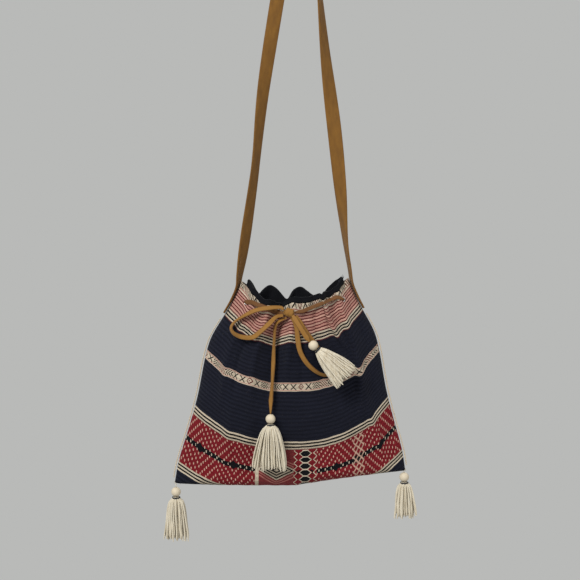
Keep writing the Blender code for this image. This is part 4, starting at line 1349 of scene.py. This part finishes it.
pegTop = bag["seamHeight"] + strap["rise"] - strap["peg"]
bend = strap["peg"] + strap["thickness"] / 2
over = []
for a in np.linspace(0, math.pi, 7):
    over.append(((strap["x"] - bend * math.cos(a), 0.0, pegTop + bend * math.sin(a)), -90))
strapRoute = strapSide(-1, strap["left"]) + over + strapSide(1, strap["right"])[::-1]
strapPath = smoothCurve([p for p, _ in strapRoute], strap["count"])
lengths = distancesAlong(strapPath)
stations = [int(np.argmin(np.linalg.norm(strapPath - np.array(p), axis=1))) for p, _ in strapRoute]
turns = np.interp(lengths, lengths[stations], [t for _, t in strapRoute])
soft = strap["softened"]
turns = np.convolve(np.pad(turns, soft // 2, mode="edge"), np.ones(soft) / soft, mode="valid")
wide, thick = strap["width"], strap["thickness"]
piece = bandPiece("shoulderStrap", strapPath, wide, thick, turns, ripple=0.018, seed=21, thinnest=1.0)
finished(piece, strapMaterial(), "bag", "strap_webbing", "shoulder_strap")
print("Strap swept")

# cords, stitches and frayed edges
trim = {
    "cordRadius": 0.0010,
    "cordPitch": 0.0042,
    "plyRadius": 0.00044,
    "plyApart": 0.00036,
    "stitchRadius": 0.00030,
    "stitchDeep": 0.0006,
    "stitchProud": (0.00022, 0.00038),
    "stitchEdge": 0.38,
    "stitched": (6, 62),  # of the strap path's places, from either end
    "frays": 150,
    "frayRadius": 0.00020,
}
creamCord = threadMaterial("creamCord", (0.400, 0.335, 0.245))
tanThread = threadMaterial("tanThread", (0.105, 0.050, 0.014))
navyThread = threadMaterial("navyThread", (0.0100, 0.0110, 0.0200))

for word, side in (("left", -1), ("right", 1)):
    heights = 0.006 + (clothHeight * 0.80 - 0.006) * np.arange(14) / 13
    seam = frontSurface(side * halfTurn, heights)
    beside = seam[:, 0] + side * (seamSide + trim["cordRadius"])
    line = smoothCurve(np.stack([beside, np.zeros(14), seam[:, 2]], axis=1), 520)
    plies = []
    for k in range(3):  # three plies laid round each other
        a = distancesAlong(line) * fullTurn / trim["cordPitch"] + k * fullTurn / 3
        offset = np.stack([np.cos(a), np.sin(a), np.zeros_like(a)], axis=1) * trim["plyApart"]
        plies.append(tubePiece("ply", line + offset, trim["plyRadius"], 7))
    finished(joinedPieces(word + "Selvedge", plies), creamCord, "bag", "selvedge_cord", word + "_piping")


def stitches(name, out, first, last):
    # two rows of short raised stitches, one after another, on the strap's outer face
    normal = Vector((out, 0, 0))
    low, high = trim["stitchProud"]
    spots = np.arange(first, last, 2)
    spots = spots[: len(spots) // 2 * 2]
    strands = []
    for edge in (-trim["stitchEdge"], trim["stitchEdge"]):
        shift = np.array((out * (strap["thickness"] / 2 - 0.0001), edge * strap["width"], 0))
        for i, j in zip(spots[::2], spots[1::2]):
            p, q = Vector(strapPath[i] + shift), Vector(strapPath[j] + shift)
            inward, lifted, middle = normal * -trim["stitchDeep"], normal * low, (p + q) / 2 + normal * high
            strands.append([p + inward, p + lifted, middle, q + lifted, q + inward])
    finished(strandBundle(name, strands, trim["stitchRadius"], 2, tip=1.0), tanThread, "bag", "strap_webbing")


first, last = trim["stitched"]
stitches("leftStrapStitches", -1, first, last)
stitches("rightStrapStitches", 1, strap["count"] - 1 - last, strap["count"] - 1 - first)


def frayBundle(name, made, seed, places, length, spread):
    # loose thread ends: each place is a point and the way that it points
    rng = random.Random(seed)
    strands = []
    for place, out in places:
        place, out = Vector(place), Vector(out)
        reach = length * rng.uniform(0.35, 1.0)
        bendBy = Vector((rng.uniform(-1, 1), rng.uniform(-0.6, 0.6), rng.uniform(-1, 0.3))) * spread
        steps = (0, 0.25, 0.5, 0.75, 1)
        strands.append([place + out * (reach * t - 0.0008) + bendBy * reach * t * t for t in steps])
    finished(strandBundle(name, strands, trim["frayRadius"], 1, tip=0.55), made, "bag", "woven_cloth")


rng = random.Random(5)
baseFrays, cornerFrays, hemFrays = [], [], []
for _ in range(trim["frays"]):
    seam = frontSurface(rng.uniform(-1.35, 1.22), 0.0)
    baseFrays.append(((seam[0], seam[1] + 0.0002, seam[2] + 0.0005), (rng.uniform(-0.3, 0.3), 0.3, -1.0)))
frayBundle("baseFrays", navyThread, 7, baseFrays, 0.0035, 0.5)
for side in (-1, 1):
    seam = frontSurface(side * halfTurn, 0.001)
    for _ in range(9):
        out = (side * rng.uniform(0.2, 1.0), rng.uniform(-0.3, 0.3), -rng.uniform(0.1, 1.0))
        cornerFrays.append(((seam[0], 0.0, seam[2]), out))
frayBundle("cornerFrays", creamCord, 8, cornerFrays, 0.0048, 0.5)
for _ in range(26):
    edge = onCloth(frontSurface, rng.uniform(0.98, 1.22), clothHeight + 0.0072, 0.0006)
    hemFrays.append((tuple(edge), (rng.uniform(-0.7, 0.5), rng.uniform(-0.4, 0.2), 1.0)))
frayBundle("hemFrays", navyThread, 9, hemFrays, 0.0042, 0.7)
print("Edges trimmed")

studio = {
    "floorZ": -1.78,
    "floorRadius": 2.95,
    "floorColour": (0.560, 0.565, 0.555),
    "worldColour": (0.485, 0.490, 0.480),
    "worldStrength": 0.42,
    "aim": (0.0, 0.0, -0.5),
    "lamps": (  # name, place, power and size
        ("keyWindow", (-1.1, -1.9, 0.9), 62.0, 1.1),
        ("fillSide", (1.9, -1.2, 0.1), 12.0, 1.6),
        ("backSoft", (0.6, 2.2, 0.8), 12.0, 1.6),
    ),
}
bpy.ops.object.select_all(action="DESELECT")
bpy.ops.mesh.primitive_circle_add(
    vertices=128, radius=studio["floorRadius"], fill_type="NGON", location=(0.0, 0.0, studio["floorZ"])
)
floor = bpy.context.object
floor.name = "paleFloor"
floor.data.materials.append(newMaterial("paleFloorPaint", 0.9, studio["floorColour"]))
for name, place, power, size in studio["lamps"]:
    bpy.ops.object.light_add(type="AREA", location=place)
    lamp = bpy.context.object
    lamp.name = name
    lamp.data.energy = power
    lamp.data.size = size
    lamp.rotation_euler = (Vector(studio["aim"]) - Vector(place)).to_track_quat("-Z", "Y").to_euler()

world = bpy.context.scene.world or bpy.data.worlds.new("studioWorld")
bpy.context.scene.world = world
world.use_nodes = True
paint["tree"] = world.node_tree
world.node_tree.nodes.clear()
shades = []
for colour, strength in (((1.0, 1.0, 1.0), studio["worldStrength"]), (studio["worldColour"], 1.0)):
    shade = newNode("Background")
    feed(shade.inputs["Color"], colour)
    feed(shade.inputs["Strength"], strength)
    shades.append(Signal(shade.outputs[0]))
rays = newNode("LightPath").outputs
glossy, through = (Signal(rays[name]) for name in ("Is Glossy Ray", "Is Transmission Ray"))
choose = newNode("MixShader")  # the first background lights the scene, and the second is seen behind it
for socket, value in zip(choose.inputs, (Signal(rays["Is Camera Ray"]) | (glossy | through), *shades)):
    feed(socket, value)
feed(newNode("OutputWorld").inputs["Surface"], Signal(choose.outputs[0]))
bpy.context.scene.view_settings.view_transform = "Standard"
print("Floor and lamps set")
